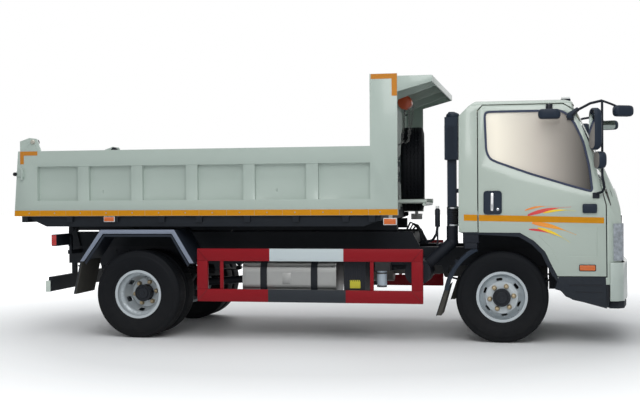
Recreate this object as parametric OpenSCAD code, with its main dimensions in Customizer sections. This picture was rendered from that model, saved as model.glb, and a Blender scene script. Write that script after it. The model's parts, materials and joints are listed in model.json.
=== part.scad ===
// A light two-axle dump truck with a forward-tilting cab, a steel tipping body,
// a spare wheel behind the cab and side guards between the axles.
// X points forward, Y to the left and Z up. The origin is on the ground in the
// middle of the truck's length and width. Sizes are in millimetres.

/* [Chassis] */
// Distance between the two axles
wheelbase = 3520; // [3350:10:3900]
// From the front axle to the front of the bumper
front_overhang = 1170; // [1160:5:1220]
// From the rear axle to the rear end of the dump body
rear_overhang = 1285; // [1285:5:1400]
// Width over the two frame rails
frame_width = 860; // [800:10:880]
// Height of a frame rail
rail_height = 180; // [150:5:200]
// Width of a frame rail's flanges
rail_flange = 65; // [50:5:75]
// Steel thickness of a frame rail
rail_wall = 8; // [6:1:12]
// Height of the frame's top edge above the ground
frame_top = 870; // [850:5:880]
// Height of the tipper's subframe on top of the frame
subframe_height = 150; // [130:5:160]

/* [Wheels] */
// Outer diameter of a tyre
tyre_d = 855; // [800:5:880]
// Width of a tyre
tyre_w = 235; // [200:5:250]
// Diameter over a rim's flange
rim_d = 474; // [440:2:490]
// Distance between the middles of the front tyres
front_track = 1600; // [1560:10:1640]
// Distance between the middles of the rear pairs of tyres
rear_track = 1650; // [1620:10:1660]
// Distance between the middles of the two tyres of a rear pair
twin_spacing = 270; // [260:5:280]
// Number of nuts on each wheel
wheel_nuts = 6; // [5:1:8]
// Diameter of the circle that the wheel nuts stand on
nut_circle = 222; // [205:1:236]
// Diameter of a wheel spindle
spindle_d = 60; // [50:2:70]

/* [Cab] */
// Width of the cab over its doors
cab_width = 1980; // [1900:10:2040]
// Height of the cab's roof above the ground
cab_top = 2270; // [2260:5:2320]
// Thickness of the cab's walls and doors
cab_wall = 45; // [40:1:50]
// Gap round each door
door_gap = 10; // [9:1:14]
// Thickness of the window panes
glass_t = 5; // [4:1:8]

/* [Dump body] */
// Width of the dump body
bed_width = 2200; // [2120:10:2300]
// Height of the dump body's lower edge above the ground
bed_bottom = 1196; // [1190:2:1240]
// Height of the dump body's side walls
side_height = 649; // [560:5:760]
// Height of the headboard above the body's lower edge
headboard_height = 1319; // [1280:5:1400]
// From the rear axle to the front edge of the headboard's side plates
bed_front = 2577; // [2560:5:2620]
// Thickness of a side wall over its ribs
side_wall = 60; // [50:2:80]
// Width of a side wall's ribs
rib_w = 116; // [80:2:140]
// Length of the hood on top of the headboard
hood_length = 325; // [200:5:340]

/* [Side guards] */
// Length of a side guard
guard_length = 2196; // [1900:10:2240]
// Height of a side guard
guard_height = 512; // [400:4:560]
// Height of a side guard's upper and lower members
guard_bar = 120; // [80:4:140]

/* [Hidden] */
$fn = 48;

// Stations along the truck
overall_length = front_overhang + wheelbase + rear_overhang;
rear_x = rear_overhang - overall_length / 2;
front_x = rear_x + wheelbase;
tyre_r = tyre_d / 2;

// Frame
rail_y = frame_width / 2;
frame_bottom = frame_top - rail_height;
frame_rear = rear_x - 1010;
frame_front = front_x + 950;
subframe_top = frame_top + subframe_height;
subframe_front = rear_x + 2696;
bearer_gap = 15;

// Towing jaw's holes in the rear plate
tow_plate_t = 10;
tow_hole_d = 17;
tow_hole_y = 160;
tow_hole_z = 100;
tow_z = frame_bottom + rail_height / 2;

// Tipping hinge and hoist
hinge_x = rear_x - 960;
hinge_z = subframe_top + 30;
hinge_pin_d = 44;
hinge_boss_d = 80;
hoist_base = [rear_x - 400, frame_top + 32];
hoist_top = [rear_x + 900, bed_bottom - 106];
hoist_pin_d = 50;
hoist_eye_d = 84;
rod_pin_d = 38;
hoist_tube_d = 104;
hoist_rod_d = 60;
hoist_length = norm(hoist_top - hoist_base);
hoist_angle = atan2(hoist_top[1] - hoist_base[1], hoist_top[0] - hoist_base[0]);
fit = 0.05;
seat_gap = 0.3;

// Steering
kingpin_d = 40;
kingpin_y = front_track / 2 - 155;

// Cab
cab_y = cab_width / 2;
cab_rear = front_x - 390;
cab_floor = 1035;
tunnel_y = 480;
tunnel_z = 900;
door_hinge_x = front_x + 918;
door_hinge_inset = 8;
door_hinge_z = [760, 1080];
door_skin = 14;
door_setback = 40;
tilt_x = front_x + 880;
tilt_z = 640;
tilt_pin_d = 40;

// Dump body
bed_y = bed_width / 2;
bed_in_y = bed_y - side_wall;
bed_rear = rear_x - rear_overhang;
side_top = bed_bottom + side_height;
floor_top = bed_bottom + 60;
board_front = rear_x + bed_front - 182;
board_t = 50;
board_top = bed_bottom + headboard_height;
side_plate_x = rear_x + bed_front - 259;
rear_slant = 45;
gate_hinge_x = bed_rear + 197;
gate_hinge_z = side_top + 92;
gate_pin_d = 30;
gate_t = 50;
lower_rail_h = 153;
top_rail_h = 155;
bearer_h = 60;

// Spare wheel
spare_x = rear_x + 2590;
spare_z = 1647;
spare_turn = 6;

// Side guard
guard_top = 878;
guard_rear = rear_x + 605;
guard_y = 1050;
guard_t = 40;

// A box given by its lowest and highest corners
module box(low, high) {
    translate(low) cube(high - low);
}

// A box on both sides of the truck, given on the left
module box_pair(low, high) {
    both_sides() box(low, high);
}

module both_sides() {
    children();
    mirror([0, 1, 0]) children();
}

// A round bar along Y at x, z
module bar_y(x, z, y0, y1, d) {
    translate([x, y1, z]) rotate([90, 0, 0]) cylinder(d = d, h = y1 - y0);
}

// A round bar along X at y, z
module bar_x(x0, x1, y, z, d) {
    translate([x0, y, z]) rotate([0, 90, 0]) cylinder(d = d, h = x1 - x0);
}

// An outline in X and Z, as thick as y0 to y1
module across(outline, y0, y1) {
    translate([0, y1, 0]) rotate([90, 0, 0]) linear_extrude(y1 - y0) polygon(outline);
}

// An outline in Y and Z, as long as x0 to x1
module along(outline, x0, x1) {
    translate([x0, 0, 0]) rotate([90, 0, 90]) linear_extrude(x1 - x0) polygon(outline);
}

function unit(v) = v / norm(v);
function dot(a, b) = a[0] * b[0] + a[1] * b[1];
function out_of(a, b) = let (u = unit(b - a)) [u[1], -u[0]];

// An outline that runs anticlockwise, moved outwards by d
function grow(p, d) = let (n = len(p)) [
    for (i = [0 : n - 1])
        let (u = out_of(p[(i + n - 1) % n], p[i]), v = out_of(p[i], p[(i + 1) % n]))
        p[i] + d * (u + v) / (1 + dot(u, v))
];
function shift(p, dx, dz) = [for (q = p) [q[0] + dx, q[1] + dz]];
function arc(c, r, a0, a1, n) = [for (i = [0 : n]) let (a = a0 + (a1 - a0) * i / n)
    c + r * [cos(a), sin(a)]];

// ---------- Frame and driveline ----------

// Cross members of the frame: distance from the rear axle
frame_members = [-900, -560, 380, 1250, 2150, 2900];

module ladder_frame() color("#15181c") {
    both_sides() difference() {
        box([frame_rear, rail_y - rail_flange, frame_bottom], [frame_front, rail_y, frame_top]);
        box([frame_rear - 1, rail_y - rail_flange - 1, frame_bottom + rail_wall],
            [frame_front + 1, rail_y - rail_wall, frame_top - rail_wall]);
    }
    for (x = frame_members)
        box([rear_x + x - 35, -rail_y + rail_wall, frame_top - 90],
            [rear_x + x + 35, rail_y - rail_wall, frame_top - rail_wall]);
    // Drilled plate for a towing jaw across the rear end
    difference() {
        box([frame_rear, -rail_y + rail_wall, frame_bottom + rail_wall],
            [frame_rear + tow_plate_t, rail_y - rail_wall, frame_top - rail_wall]);
        for (y = [-tow_hole_y / 2, tow_hole_y / 2], z = [-tow_hole_z / 2, tow_hole_z / 2])
            bar_x(frame_rear - 1, frame_rear + tow_plate_t + 1, y, tow_z + z, tow_hole_d);
    }
    bar_y(frame_front - 60, frame_bottom + 60, -rail_y + rail_wall, rail_y - rail_wall, 70);
    // Brackets and pins of the cab's tilting pivot
    both_sides() {
        across([[tilt_x - 90, frame_bottom + 60], [tilt_x - 45, tilt_z - 10],
                [tilt_x - 25, tilt_z - 38], [tilt_x + 25, tilt_z - 38],
                [tilt_x + 45, tilt_z - 10], [tilt_x + 60, frame_bottom + 60]], rail_y, rail_y + 12);
        bar_y(tilt_x, tilt_z, rail_y, tunnel_y - seat_gap, tilt_pin_d);
    }
    // Spring hangers of both axles
    both_sides() for (x = [front_x - 560, front_x + 560, rear_x - 620, rear_x + 620])
        across([[x - 40, frame_bottom], [x - 18, frame_bottom - 66], [x + 18, frame_bottom - 66],
                [x + 40, frame_bottom]], rail_y - rail_flange, rail_y);
}

// Cross members of the subframe: distance from the rear axle
subframe_members = [-800, -560, 1500, 2100, 2600];

module tipper_subframe() color("#1b2126") {
    both_sides() {
        difference() {
            across([[frame_rear, frame_top], [subframe_front, frame_top],
                    [subframe_front, frame_top + 20], [subframe_front - 70, subframe_top],
                    [frame_rear, subframe_top]], rail_y - rail_flange, rail_y);
            bar_y(hinge_x, hinge_z, rail_y - rail_flange - 1, rail_y + 1, hinge_boss_d + 20);
        }
        // Hinge lug beside the rail, with its pin
        difference() {
            union() {
                across([[hinge_x - 46, frame_top], [hinge_x + 90, frame_top],
                        [hinge_x + 40, hinge_z + 12], [hinge_x - 40, hinge_z + 12]],
                       rail_y, rail_y + 25);
                bar_y(hinge_x, hinge_z, rail_y, rail_y + 25, hinge_boss_d);
            }
        }
        bar_y(hinge_x, hinge_z, rail_y - rail_flange, rail_y + 40, hinge_pin_d);
    }
    for (x = subframe_members)
        box([rear_x + x - 30, -rail_y + rail_flange, frame_top + 20],
            [rear_x + x + 30, rail_y - rail_flange, subframe_top - 20]);
    // Cross tube that the hoist stands on
    bar_y(hoist_base[0], hoist_base[1], -rail_y + rail_flange, rail_y - rail_flange, hoist_pin_d);
}

engine_low = 560;
module engine() color("#2b2f33") {
    box([front_x - 330, -270, engine_low], [front_x + 420, 270, tunnel_z - 30]);
    box_pair([front_x - 60, 270, 720], [front_x + 60, rail_y - rail_wall - seat_gap, 780]);
}

module gearbox() color("#33383d") {
    bar_x(front_x - 560, front_x - 330.3, 0, 700, 300);
    bar_x(front_x - 800, front_x - 560, 0, shaft_front[1], 200);
}

shaft_front = [front_x - 800.3, 675];
shaft_rear = [rear_x + 260.3, tyre_r + 30];
shaft_slope = atan2(shaft_front[1] - shaft_rear[1], shaft_front[0] - shaft_rear[0]);
module propshaft() color("#26292c") {
    span = shaft_rear - shaft_front;
    stub_d = 44;
    tip = stub_d / 2 * sin(shaft_slope);
    translate([shaft_front[0], 0, shaft_front[1]])
        rotate([0, 90 - shaft_slope, 0]) {
            translate([0, 0, -norm(span) + 12]) cylinder(d = 80, h = norm(span) - 24);
            translate([0, 0, -norm(span) + tip]) cylinder(d = stub_d, h = norm(span) - 2 * tip);
            translate([0, 0, -60]) cylinder(d = 120, h = 44);
            translate([0, 0, -norm(span) + 16]) cylinder(d = 120, h = 44);
        }
}

module front_axle() color("#15181c") {
    beam_low = tyre_r - 60;
    box([front_x - 35, -kingpin_y + 30, beam_low], [front_x + 35, kingpin_y - 30, tyre_r + 5]);
    both_sides() {
        difference() {
            translate([front_x, kingpin_y, beam_low]) cylinder(d = 84, h = 86);
            translate([front_x, kingpin_y, beam_low - 1]) cylinder(d = kingpin_d + 2 * fit, h = 88);
        }
        box([front_x - 70, rail_y - rail_flange - 3, tyre_r + 5],
            [front_x + 70, rail_y + 3, tyre_r + 24]);
    }
}

hub_face = rear_track / 2 - 20;
module rear_axle() color("#15181c") {
    bar_y(rear_x, tyre_r, -rear_track / 2 + 230, rear_track / 2 - 230, 130);
    translate([rear_x, 0, tyre_r]) sphere(d = 330);
    bar_x(rear_x, rear_x + 260, 0, tyre_r + 30, 150);
    both_sides() {
        box([rear_x - 80, rail_y - rail_flange - 3, tyre_r + 40],
            [rear_x + 80, rail_y + 3, tyre_r + 74]);
        // Brake back plate and the spindle inside the hub
        bar_y(rear_x, tyre_r, rear_track / 2 - 245, rear_track / 2 - 225, 330);
        bar_y(rear_x, tyre_r, rear_track / 2 - 226, rear_track / 2 + 60, spindle_d);
    }
}

// An arched pack of leaves from one eye to the other, its middle standing on seat_z
module spring_pack(x, half_span, eye_z, seat_z, thick) {
    rise = eye_z - seat_z - thick;
    radius = (half_span * half_span + rise * rise) / (2 * rise);
    half_angle = asin(half_span / radius);
    centre = [x, seat_z + thick + radius];
    across(concat(arc(centre, radius, 270 - half_angle, 270 + half_angle, 12),
                  arc(centre, radius + 14, 270 + half_angle, 270 - half_angle, 12)),
           rail_y - rail_flange, rail_y);
    across(concat(arc(centre, radius + 12, 270 - half_angle * 0.62, 270 + half_angle * 0.62, 8),
                  arc(centre, radius + thick, 270 + half_angle * 0.55, 270 - half_angle * 0.55, 8)),
           rail_y - rail_flange, rail_y);
    for (side = [-1, 1])
        bar_y(x + side * (half_span - 4), eye_z + 8, rail_y - rail_flange, rail_y, 52);
}

module leaf_springs() color("#1a1c1f") both_sides() {
    spring_pack(front_x, 560, frame_bottom - 100.5, tyre_r + 24.3, 60);
    spring_pack(rear_x, 620, frame_bottom - 100.5, tyre_r + 74.3, 84);
}

// ---------- Chassis equipment ----------

tank_x = [rear_x + 1031, rear_x + 1959];
tank_y = [-940, -540];
tank_z = [415, 762];

// A box with round long edges, its length along X
module round_tank(x, y, z, r) {
    along(concat(arc([y[1] - r, z[1] - r], r, 0, 90, 8), arc([y[0] + r, z[1] - r], r, 90, 180, 8),
                 arc([y[0] + r, z[0] + r], r, 180, 270, 8), arc([y[1] - r, z[0] + r], r, 270, 360, 8)),
          x[0], x[1]);
}

module fuel_tank() color("silver") {
    round_tank(tank_x, tank_y, tank_z, 110);
    translate([rear_x + 1467, tank_y[0] + 150, tank_z[1] - 10]) cylinder(d = 92, h = 34);
}

strap_x = [rear_x + 1243, rear_x + 1743];
module tank_straps() color("#111316") for (x = strap_x) {
    difference() {
        union() {
            round_tank([x - 32, x + 32], tank_y + [-8, 8], tank_z + [-8, 8], 118);
            box([x - 32, tank_y[1] - 60, frame_bottom + 10], [x + 32, -rail_y, tank_z[1] + 8]);
        }
        round_tank([x - 33, x + 33], tank_y, tank_z, 110);
    }
}

module battery_box() color("#14171a") {
    box([rear_x + 2037, -960, 420], [rear_x + 2245, -640, 760]);
    box([rear_x + 2100, -640, frame_bottom + 10], [rear_x + 2180, -rail_y, 750]);
}

module fuel_filter() color("#c9d4da") {
    translate([rear_x + 2380, -800, 502]) cylinder(d = 96, h = 158);
    box([rear_x + 2320, -850, 659], [rear_x + 2464, -750, 741]);
    box([rear_x + 2360, -750, 700], [rear_x + 2400, -rail_y, 735]);
}

cleaner_x = rear_x + 2733;
cleaner_z = 650;
duct_y = -700;
duct_z = 930;
duct_d = 110;
module air_cleaner() color("#14171a") {
    bar_y(cleaner_x, cleaner_z, -880, -500, 246);
    box([cleaner_x - 60, -500, cleaner_z + 45], [cleaner_x + 60, -rail_y, cleaner_z + 75]);
    // Duct up to the bellows behind the cab
    translate([snorkel_x, duct_y, duct_z]) cylinder(d = duct_d, h = 1084 - seat_gap - duct_z);
    translate([snorkel_x, duct_y, duct_z]) sphere(d = duct_d + 6);
    translate([cleaner_x, duct_y, cleaner_z])
        rotate([0, atan2(snorkel_x - cleaner_x, duct_z - cleaner_z), 0])
            cylinder(d = duct_d, h = norm([snorkel_x - cleaner_x, duct_z - cleaner_z]));
}

module silencer() color("#3a3d40") {
    bar_x(rear_x + 1500, rear_x + 2300, 640, 560, 230);
    box([rear_x + 1600, rail_y, 680], [rear_x + 1660, 700, 740]);
    box([rear_x + 1600, 600, 660], [rear_x + 1660, 680, 700]);
    box([rear_x + 2140, rail_y, 680], [rear_x + 2200, 700, 740]);
    box([rear_x + 2140, 600, 660], [rear_x + 2200, 680, 700]);
    bar_x(rear_x + 1060, rear_x + 1510, 640, 560, 70);
    bar_x(rear_x + 2290, rear_x + 2800, 640, 560, 70);
}

// Side guard: long rails, and between them the end posts, slats and brackets to the frame
guard_post_w = 106;
guard_slat_w = 34;
guard_slats = [228, 1697];
guard_brackets = [160, 2020];
guard_in_y = guard_y - guard_t;

module on_side(side) if (side > 0) children(); else mirror([0, 1, 0]) children();

module guard_rails(side) color("#7e1a22") on_side(side)
    for (z = [guard_top - guard_height, guard_top - guard_bar])
        box([guard_rear, guard_in_y, z], [guard_rear + guard_length, guard_y, z + guard_bar]);

module guard_posts(side) {
    low = guard_top - guard_height + guard_bar;
    high = guard_top - guard_bar;
    color("#7e1a22") on_side(side) {
        for (x = [0, guard_length - guard_post_w])
            box([guard_rear + x, guard_in_y, low], [guard_rear + x + guard_post_w, guard_y, high]);
        for (x = guard_slats)
            box([guard_rear + x, guard_in_y + 10, low], [guard_rear + x + guard_slat_w, guard_y - 10, high]);
        for (x = guard_brackets)
            box([guard_rear + x, rail_y, guard_top - 90], [guard_rear + x + 50, guard_in_y, guard_top - 40]);
    }
}

module rear_fenders() color("#1b1f24") both_sides() {
    y = [bed_y - 490, bed_y - 10];
    // Bent sheet over the wheels with a mudflap behind
    outer = [[rear_x - 590, 750], [rear_x - 371, 1060], [rear_x + 385, 1060], [rear_x + 582, 737]];
    across(concat(outer, [[rear_x + 572, 731], [rear_x + 379, 1050], [rear_x - 365, 1050],
                          [rear_x - 582, 744]]), y[0], y[1]);
    across([[rear_x - 590, 750], [rear_x - 660, 430], [rear_x - 652, 428], [rear_x - 582, 744]],
           y[0] + 10, y[1] - 10);
    for (x = [rear_x - 300, rear_x + 280])
        box([x, rail_y, 1012], [x + 40, y[0] + 40, 1050]);
}

module underrun_bar() color("#15181c") {
    box([rear_x - 1000, -1000, 437], [rear_x - 955, 1000, 546]);
    box([rear_x - 990, -960, 546], [rear_x - 945, 960, 584]);
    box_pair([rear_x - 985, rail_y - 70, 584], [rear_x - 945, rail_y - 10, frame_bottom]);
}

lamp_y = [640, 1000];
module rear_lamps() color("#8c1712") both_sides() {
    box([rear_x - 934, lamp_y[0], 895], [rear_x - 880, lamp_y[1], 1010]);
    box([rear_x - 900, rail_y, 800], [rear_x - 860, lamp_y[0] + 60, 840]);
    box([rear_x - 880, lamp_y[0] + 20, 800], [rear_x - 860, lamp_y[0] + 60, 990]);
}

module front_mudguards() color("#1d2228") both_sides() {
    inner = tyre_r + 100;
    across(concat(arc([front_x, tyre_r - 10], inner, 128, 172, 8),
                  arc([front_x, tyre_r - 10], inner + 8, 172, 128, 8)), 640, 960);
    across([[front_x - 530, 498], [front_x - 610, 250], [front_x - 602, 248], [front_x - 522, 494]],
           650, 950);
    bar_y(front_x - 440, 745, rail_y, 660, 34);
}

// ---------- Cab ----------

// Side view of the cab without its wheel arch: x from the front axle, z
cab_side = shift([
    [-390, cab_floor], [170, cab_floor], [296, 956], [395, 858], [457, 727], [506, 632],
    [520, 560], [1075, 560], [1085, 900], [1080, 1080], [1066, 1250], [1030, 1409],
    [704, 2111], [690, cab_top - 75], [640, cab_top - 38], [560, cab_top - 14],
    [300, cab_top], [-150, cab_top], [-240, cab_top - 18], [-300, cab_top - 60],
    [-390, cab_top - 152]
], front_x, 0);

// Front view of the cab: y, z
roof_r = 70;
cab_front_view = concat(
    [[-cab_y, 500], [cab_y, 500], [cab_y, 1280], [cab_y - 30, 1600], [cab_y - 78, cab_top - 85]],
    arc([cab_y - 150, cab_top - 85], roof_r, 10, 80, 5),
    [[300, cab_top + 1], [-300, cab_top + 1]],
    arc([-cab_y + 150, cab_top - 85], roof_r, 100, 170, 5),
    [[-cab_y + 78, cab_top - 85], [-cab_y + 30, 1600], [-cab_y, 1280]]);

// Plan of the cab: round front corners
corner_r = 120;
cab_plan = concat(
    [[cab_rear, -cab_y]],
    arc([front_x + 1085 - corner_r, -cab_y + corner_r], corner_r, 270, 360, 8),
    arc([front_x + 1085 - corner_r, cab_y - corner_r], corner_r, 0, 90, 8),
    [[cab_rear, cab_y]]);

// The cab's outer form, moved inwards by t
module cab_form(t) {
    intersection() {
        across(grow(cab_side, -t), -cab_y, cab_y);
        along(grow(cab_front_view, -t), cab_rear - 1, front_x + 1090);
        translate([0, 0, 400]) linear_extrude(2000) polygon(grow(cab_plan, -t));
        // The windscreen's corners are rounded as well
        pillar_prism(t);
    }
}

// A prism with round corners that runs up along the windscreen
screen_lean = atan2(1030 - 704, 2111 - 1409);
module pillar_prism(t) {
    r = 130;
    w = cab_y - 40;
    translate([front_x + 1036, 0, 1396]) rotate([0, -screen_lean, 0])
        translate([0, 0, -1800]) linear_extrude(4000)
            polygon(concat([[-3600, -w - 220], [-260, -w - 220]],
                           arc([-r, -w + r - 12], r, 290, 360, 6),
                           arc([-r, w - r + 12], r, 0, 70, 6),
                           [[-260, w + 220], [-3600, w + 220]]));
}

// Outline of a door in the side view
door_outline = shift([
    [170, 1030], [296, 956], [395, 858], [457, 727], [506, 634], [938, 634], [934, 1281],
    [892, 1440], [850, 1640], [790, 1850], [715, 2036], [640, 2160], [560, cab_top - 60],
    [-170, cab_top - 60], [-212, cab_top - 110], [-206, 1030]
], front_x, 0);

// Outline of the rubber round a door's window
door_window = shift([
    [256, 1567], [600, 1458], [800, 1400], [825, 1412], [799, 1631], [747, 1864], [668, 2038],
    [600, 2125], [535, 2158], [-130, 2158], [-158, 2130], [-143, 1786], [-110, 1710], [-46, 1677]
], front_x, 0);
rubber_w = 14;

screen_low = 1430;
screen_high = 2060;

module cab_shell() color("#c3cfc6") {
    difference() {
        cab_form(0);
        difference() {
            cab_form(cab_wall);
            // Engine tunnel left standing inside
            box([cab_rear, -tunnel_y - 40, 0], [front_x + 1045, tunnel_y + 40, tunnel_z + 40]);
        }
        box([cab_rear - 1, -tunnel_y, 0], [front_x + 1035, tunnel_y, tunnel_z]);
        // Door openings, wider behind their outer skin
        both_sides() {
            door_opening(door_gap);
            difference() {
                door_opening(door_setback + 8);
                cab_skin(12);
            }
        }
        windscreen_cut();
        rear_window_cut();
    }
    // Strikers that the doors' latches close on
    both_sides() difference() {
        box([front_x - 262, cab_y - 28, 1190], [front_x - 100, cab_y - 16, 1230]);
        across(grow(door_outline, seat_gap - door_setback), 600, cab_y + 1);
    }
    // Arms down to the tilting pivot
    both_sides() difference() {
        union() {
            across([[tilt_x - 40, tunnel_z - 60], [tilt_x - 36, tilt_z], [tilt_x + 36, tilt_z],
                    [tilt_x + 60, tunnel_z + 20], [tilt_x - 40, tunnel_z + 20]],
                   rail_y + 20, tunnel_y + 2);
            bar_y(tilt_x, tilt_z, rail_y + 20, tunnel_y + 2, 76);
        }
        bar_y(tilt_x, tilt_z, rail_y, rail_y + 60, tilt_pin_d + 2 * fit);
    }
}

// What a door's opening takes out of the cab's side. Low down it goes no deeper than the wall,
// so that the wheel arch stays.
module door_opening(margin) {
    across(grow(door_outline, margin), cab_y - cab_wall - 8, cab_y + 1);
    intersection() {
        across(grow(door_outline, margin), 600, cab_y + 1);
        box([cab_rear, 600, 1200], [front_x + 1100, cab_y + 1, cab_top]);
    }
}

// The outer layer of the cab, t thick
module cab_skin(t) {
    difference() {
        cab_form(0);
        cab_form(t);
    }
}

module windscreen_cut() {
    along([[-cab_y + 110, screen_low], [cab_y - 110, screen_low],
           [cab_y - 170, screen_high], [-cab_y + 170, screen_high]],
          front_x + 480, front_x + 1200);
}

module rear_window_cut() {
    box([cab_rear - 1, -560, 1620], [cab_rear + 60, 560, 2040]);
}

module cab_glass() color("#3a332c") {
    intersection() {
        difference() {
            cab_form(18);
            cab_form(18 + glass_t);
        }
        along([[-cab_y + 110.3, screen_low + 0.3], [cab_y - 110.3, screen_low + 0.3],
               [cab_y - 170.3, screen_high - 0.3], [-cab_y + 170.3, screen_high - 0.3]],
              front_x + 480, front_x + 1200);
    }
    box([cab_rear + 18, -559.7, 1620.3], [cab_rear + 18 + glass_t, 559.7, 2039.7]);
}

module grille_panel() color("#16181b") difference() {
    union() {
        box([front_x + 1050, -620, 1060], [front_x + 1100, 620, 1180]);
        for (z = [820 : 60 : 1000])
            box([front_x + 1060, -560, z], [front_x + 1096, 560, z + 34]);
    }
    cab_form(-seat_gap);
}

module headlamps() color("#dfe6ea") both_sides()
    intersection() {
        translate([0, 0, 777]) linear_extrude(336)
            difference() {
                polygon(grow(cab_plan, 14));
                polygon(grow(cab_plan, 0.3));
            }
        box([front_x + 1000, 640, 700], [front_x + 1110, cab_y + 20, 1200]);
    }

bumper_low = 410;
bumper_top = 760;
module front_bumper() color("#dde2e0") {
    inner = concat([[front_x + 960, -cab_y - 4]],
        arc([front_x + 1100.3 - corner_r, -cab_y - 4 + corner_r], corner_r, 270, 360, 8),
        arc([front_x + 1100.3 - corner_r, cab_y + 4 - corner_r], corner_r, 0, 90, 8),
        [[front_x + 960, cab_y + 4]]);
    bow = [[-50, 780], [-26, 640], [-12, 460], [-3, 230]];
    outer = concat([[front_x + 970, -cab_y - 20]],
        arc([front_x + front_overhang - 180, -cab_y + 90], 110, 270, 345, 8),
        [for (p = bow) [front_x + front_overhang + p[0], -p[1]]],
        [for (i = [3 : -1 : 0]) [front_x + front_overhang + bow[i][0], bow[i][1]]],
        arc([front_x + front_overhang - 180, cab_y - 90], 110, 15, 90, 8),
        [[front_x + 970, cab_y + 20]]);
    difference() {
        translate([0, 0, bumper_low]) linear_extrude(bumper_top - bumper_low) polygon(outer);
        translate([0, 0, bumper_low - 1]) linear_extrude(bumper_top - bumper_low + 2) polygon(inner);
    }
    // Beams that carry the bumper from the cab's front
    difference() {
        box_pair([front_x + 1060, 500, 600], [front_x + 1110, 700, 700]);
        cab_form(-seat_gap);
    }
}

module step_panels() color("#131518") both_sides() {
    across([[front_x + 520, 560 - seat_gap], [front_x + 520, 505], [front_x + 640, 417],
            [front_x + 960, 350], [front_x + 960, 560 - seat_gap]], cab_y - 190, cab_y - 10);
}

module dashboard() color("#3d4044") difference() {
    union() {
        dash_block();
        steering_place() translate([0, 0, -180]) cylinder(d = 60, h = 180 - 16 - seat_gap);
    }
    // Bore of the steering shaft
    steering_place() translate([0, 0, -84]) cylinder(d = steering_shaft_d + 2 * fit, h = 84);
}

module dash_block() {
    intersection() {
        across([[front_x + 660, 1180], [front_x + 760, 1130], [front_x + 1080, 1130],
                [front_x + 1080, 1375], [front_x + 800, 1400], [front_x + 690, 1330]],
               -cab_y + 75, cab_y - 75);
        cab_form(cab_wall + seat_gap);
    }
}

seat_y = [[-855, -330], [-310, 230], [270, 800]];
module seats() color("#4c4f55") for (y = seat_y) {
    box([front_x - 230, y[0], cab_floor + cab_wall + 0.3], [front_x + 250, y[1], 1230]);
    across([[front_x - 330, 1180], [front_x - 200, 1180], [front_x - 200, 1240],
            [front_x + 270, 1240], [front_x + 280, 1330], [front_x - 150, 1330],
            [front_x - 250, 1960], [front_x - 335, 1960]], y[0], y[1]);
}

steering_shaft_d = 24;
module steering_place() {
    translate([front_x + 620, 480, 1304]) rotate([0, -55, 0]) children();
}

module steering_wheel() color("#202224") steering_place() {
        translate([0, 0, -78]) cylinder(d = steering_shaft_d, h = 78);
        rotate_extrude() translate([215, 0]) circle(d = 30, $fn = 24);
        for (a = [0, 120, 240])
            rotate([0, 0, a + 90]) translate([0, -15, -6]) cube([212, 30, 12]);
        translate([0, 0, -16]) cylinder(d = 110, h = 32);
    }

snorkel_x = front_x - 473;
module snorkel() color("#15181c") {
    translate([snorkel_x, duct_y, 1084]) cylinder(d = 100, h = 181);
    box([snorkel_x - 42, -745, 1264], [snorkel_x + 42, -655, 1720]);
    box([snorkel_x - 62, -790, 1715], [snorkel_x + 62, -610, 2120]);
    translate([snorkel_x, -700, 2119]) cylinder(d1 = 120, d2 = 60, h = 54);
    box([snorkel_x + 42, -720, 1400], [cab_rear, -680, 1440]);
    box([snorkel_x + 62, -720, 1900], [cab_rear, -680, 1940]);
}

// ---------- Doors and mirrors ----------

// The cab's side wall inside an outline, from one depth below its surface to another
module side_layer(outline, from, to) {
    intersection() {
        difference() {
            along(grow(cab_front_view, -from), cab_rear, front_x + 1090);
            along(grow(cab_front_view, -to), cab_rear - 1, front_x + 1091);
        }
        across(outline, 600, cab_y + 1);
    }
}

module door_panel() {
    difference() {
        union() {
            side_layer(door_outline, 0, door_skin);
            side_layer(grow(door_outline, -door_setback), door_skin - 1, cab_wall);
            // Barrels of the hinges
            for (z = door_hinge_z)
                translate([door_hinge_x, cab_y - door_hinge_inset, z]) cylinder(d = 14, h = 60);
        }
        across(grow(door_window, -rubber_w), 500, cab_y + 10);
    }
}

module door_pane() {
    intersection() {
        difference() {
            cab_form(16);
            cab_form(16 + glass_t);
        }
        across(grow(door_window, -rubber_w - 0.3), 600, cab_y + 10);
    }
}

mirror_y = cab_y + 130;
// Mirror heads: x from the front axle, y, z, depth, width, height, turn about Z
mirror_heads = [
    [840, mirror_y, 1963, 60, 170, 375, -16],
    [880, mirror_y - 6, 1685, 60, 165, 153, -16],
    [1085, mirror_y - 60, 2122, 60, 190, 100, 60],
    [438, mirror_y - 45, 2108, 200, 90, 90, 0]
];

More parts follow.
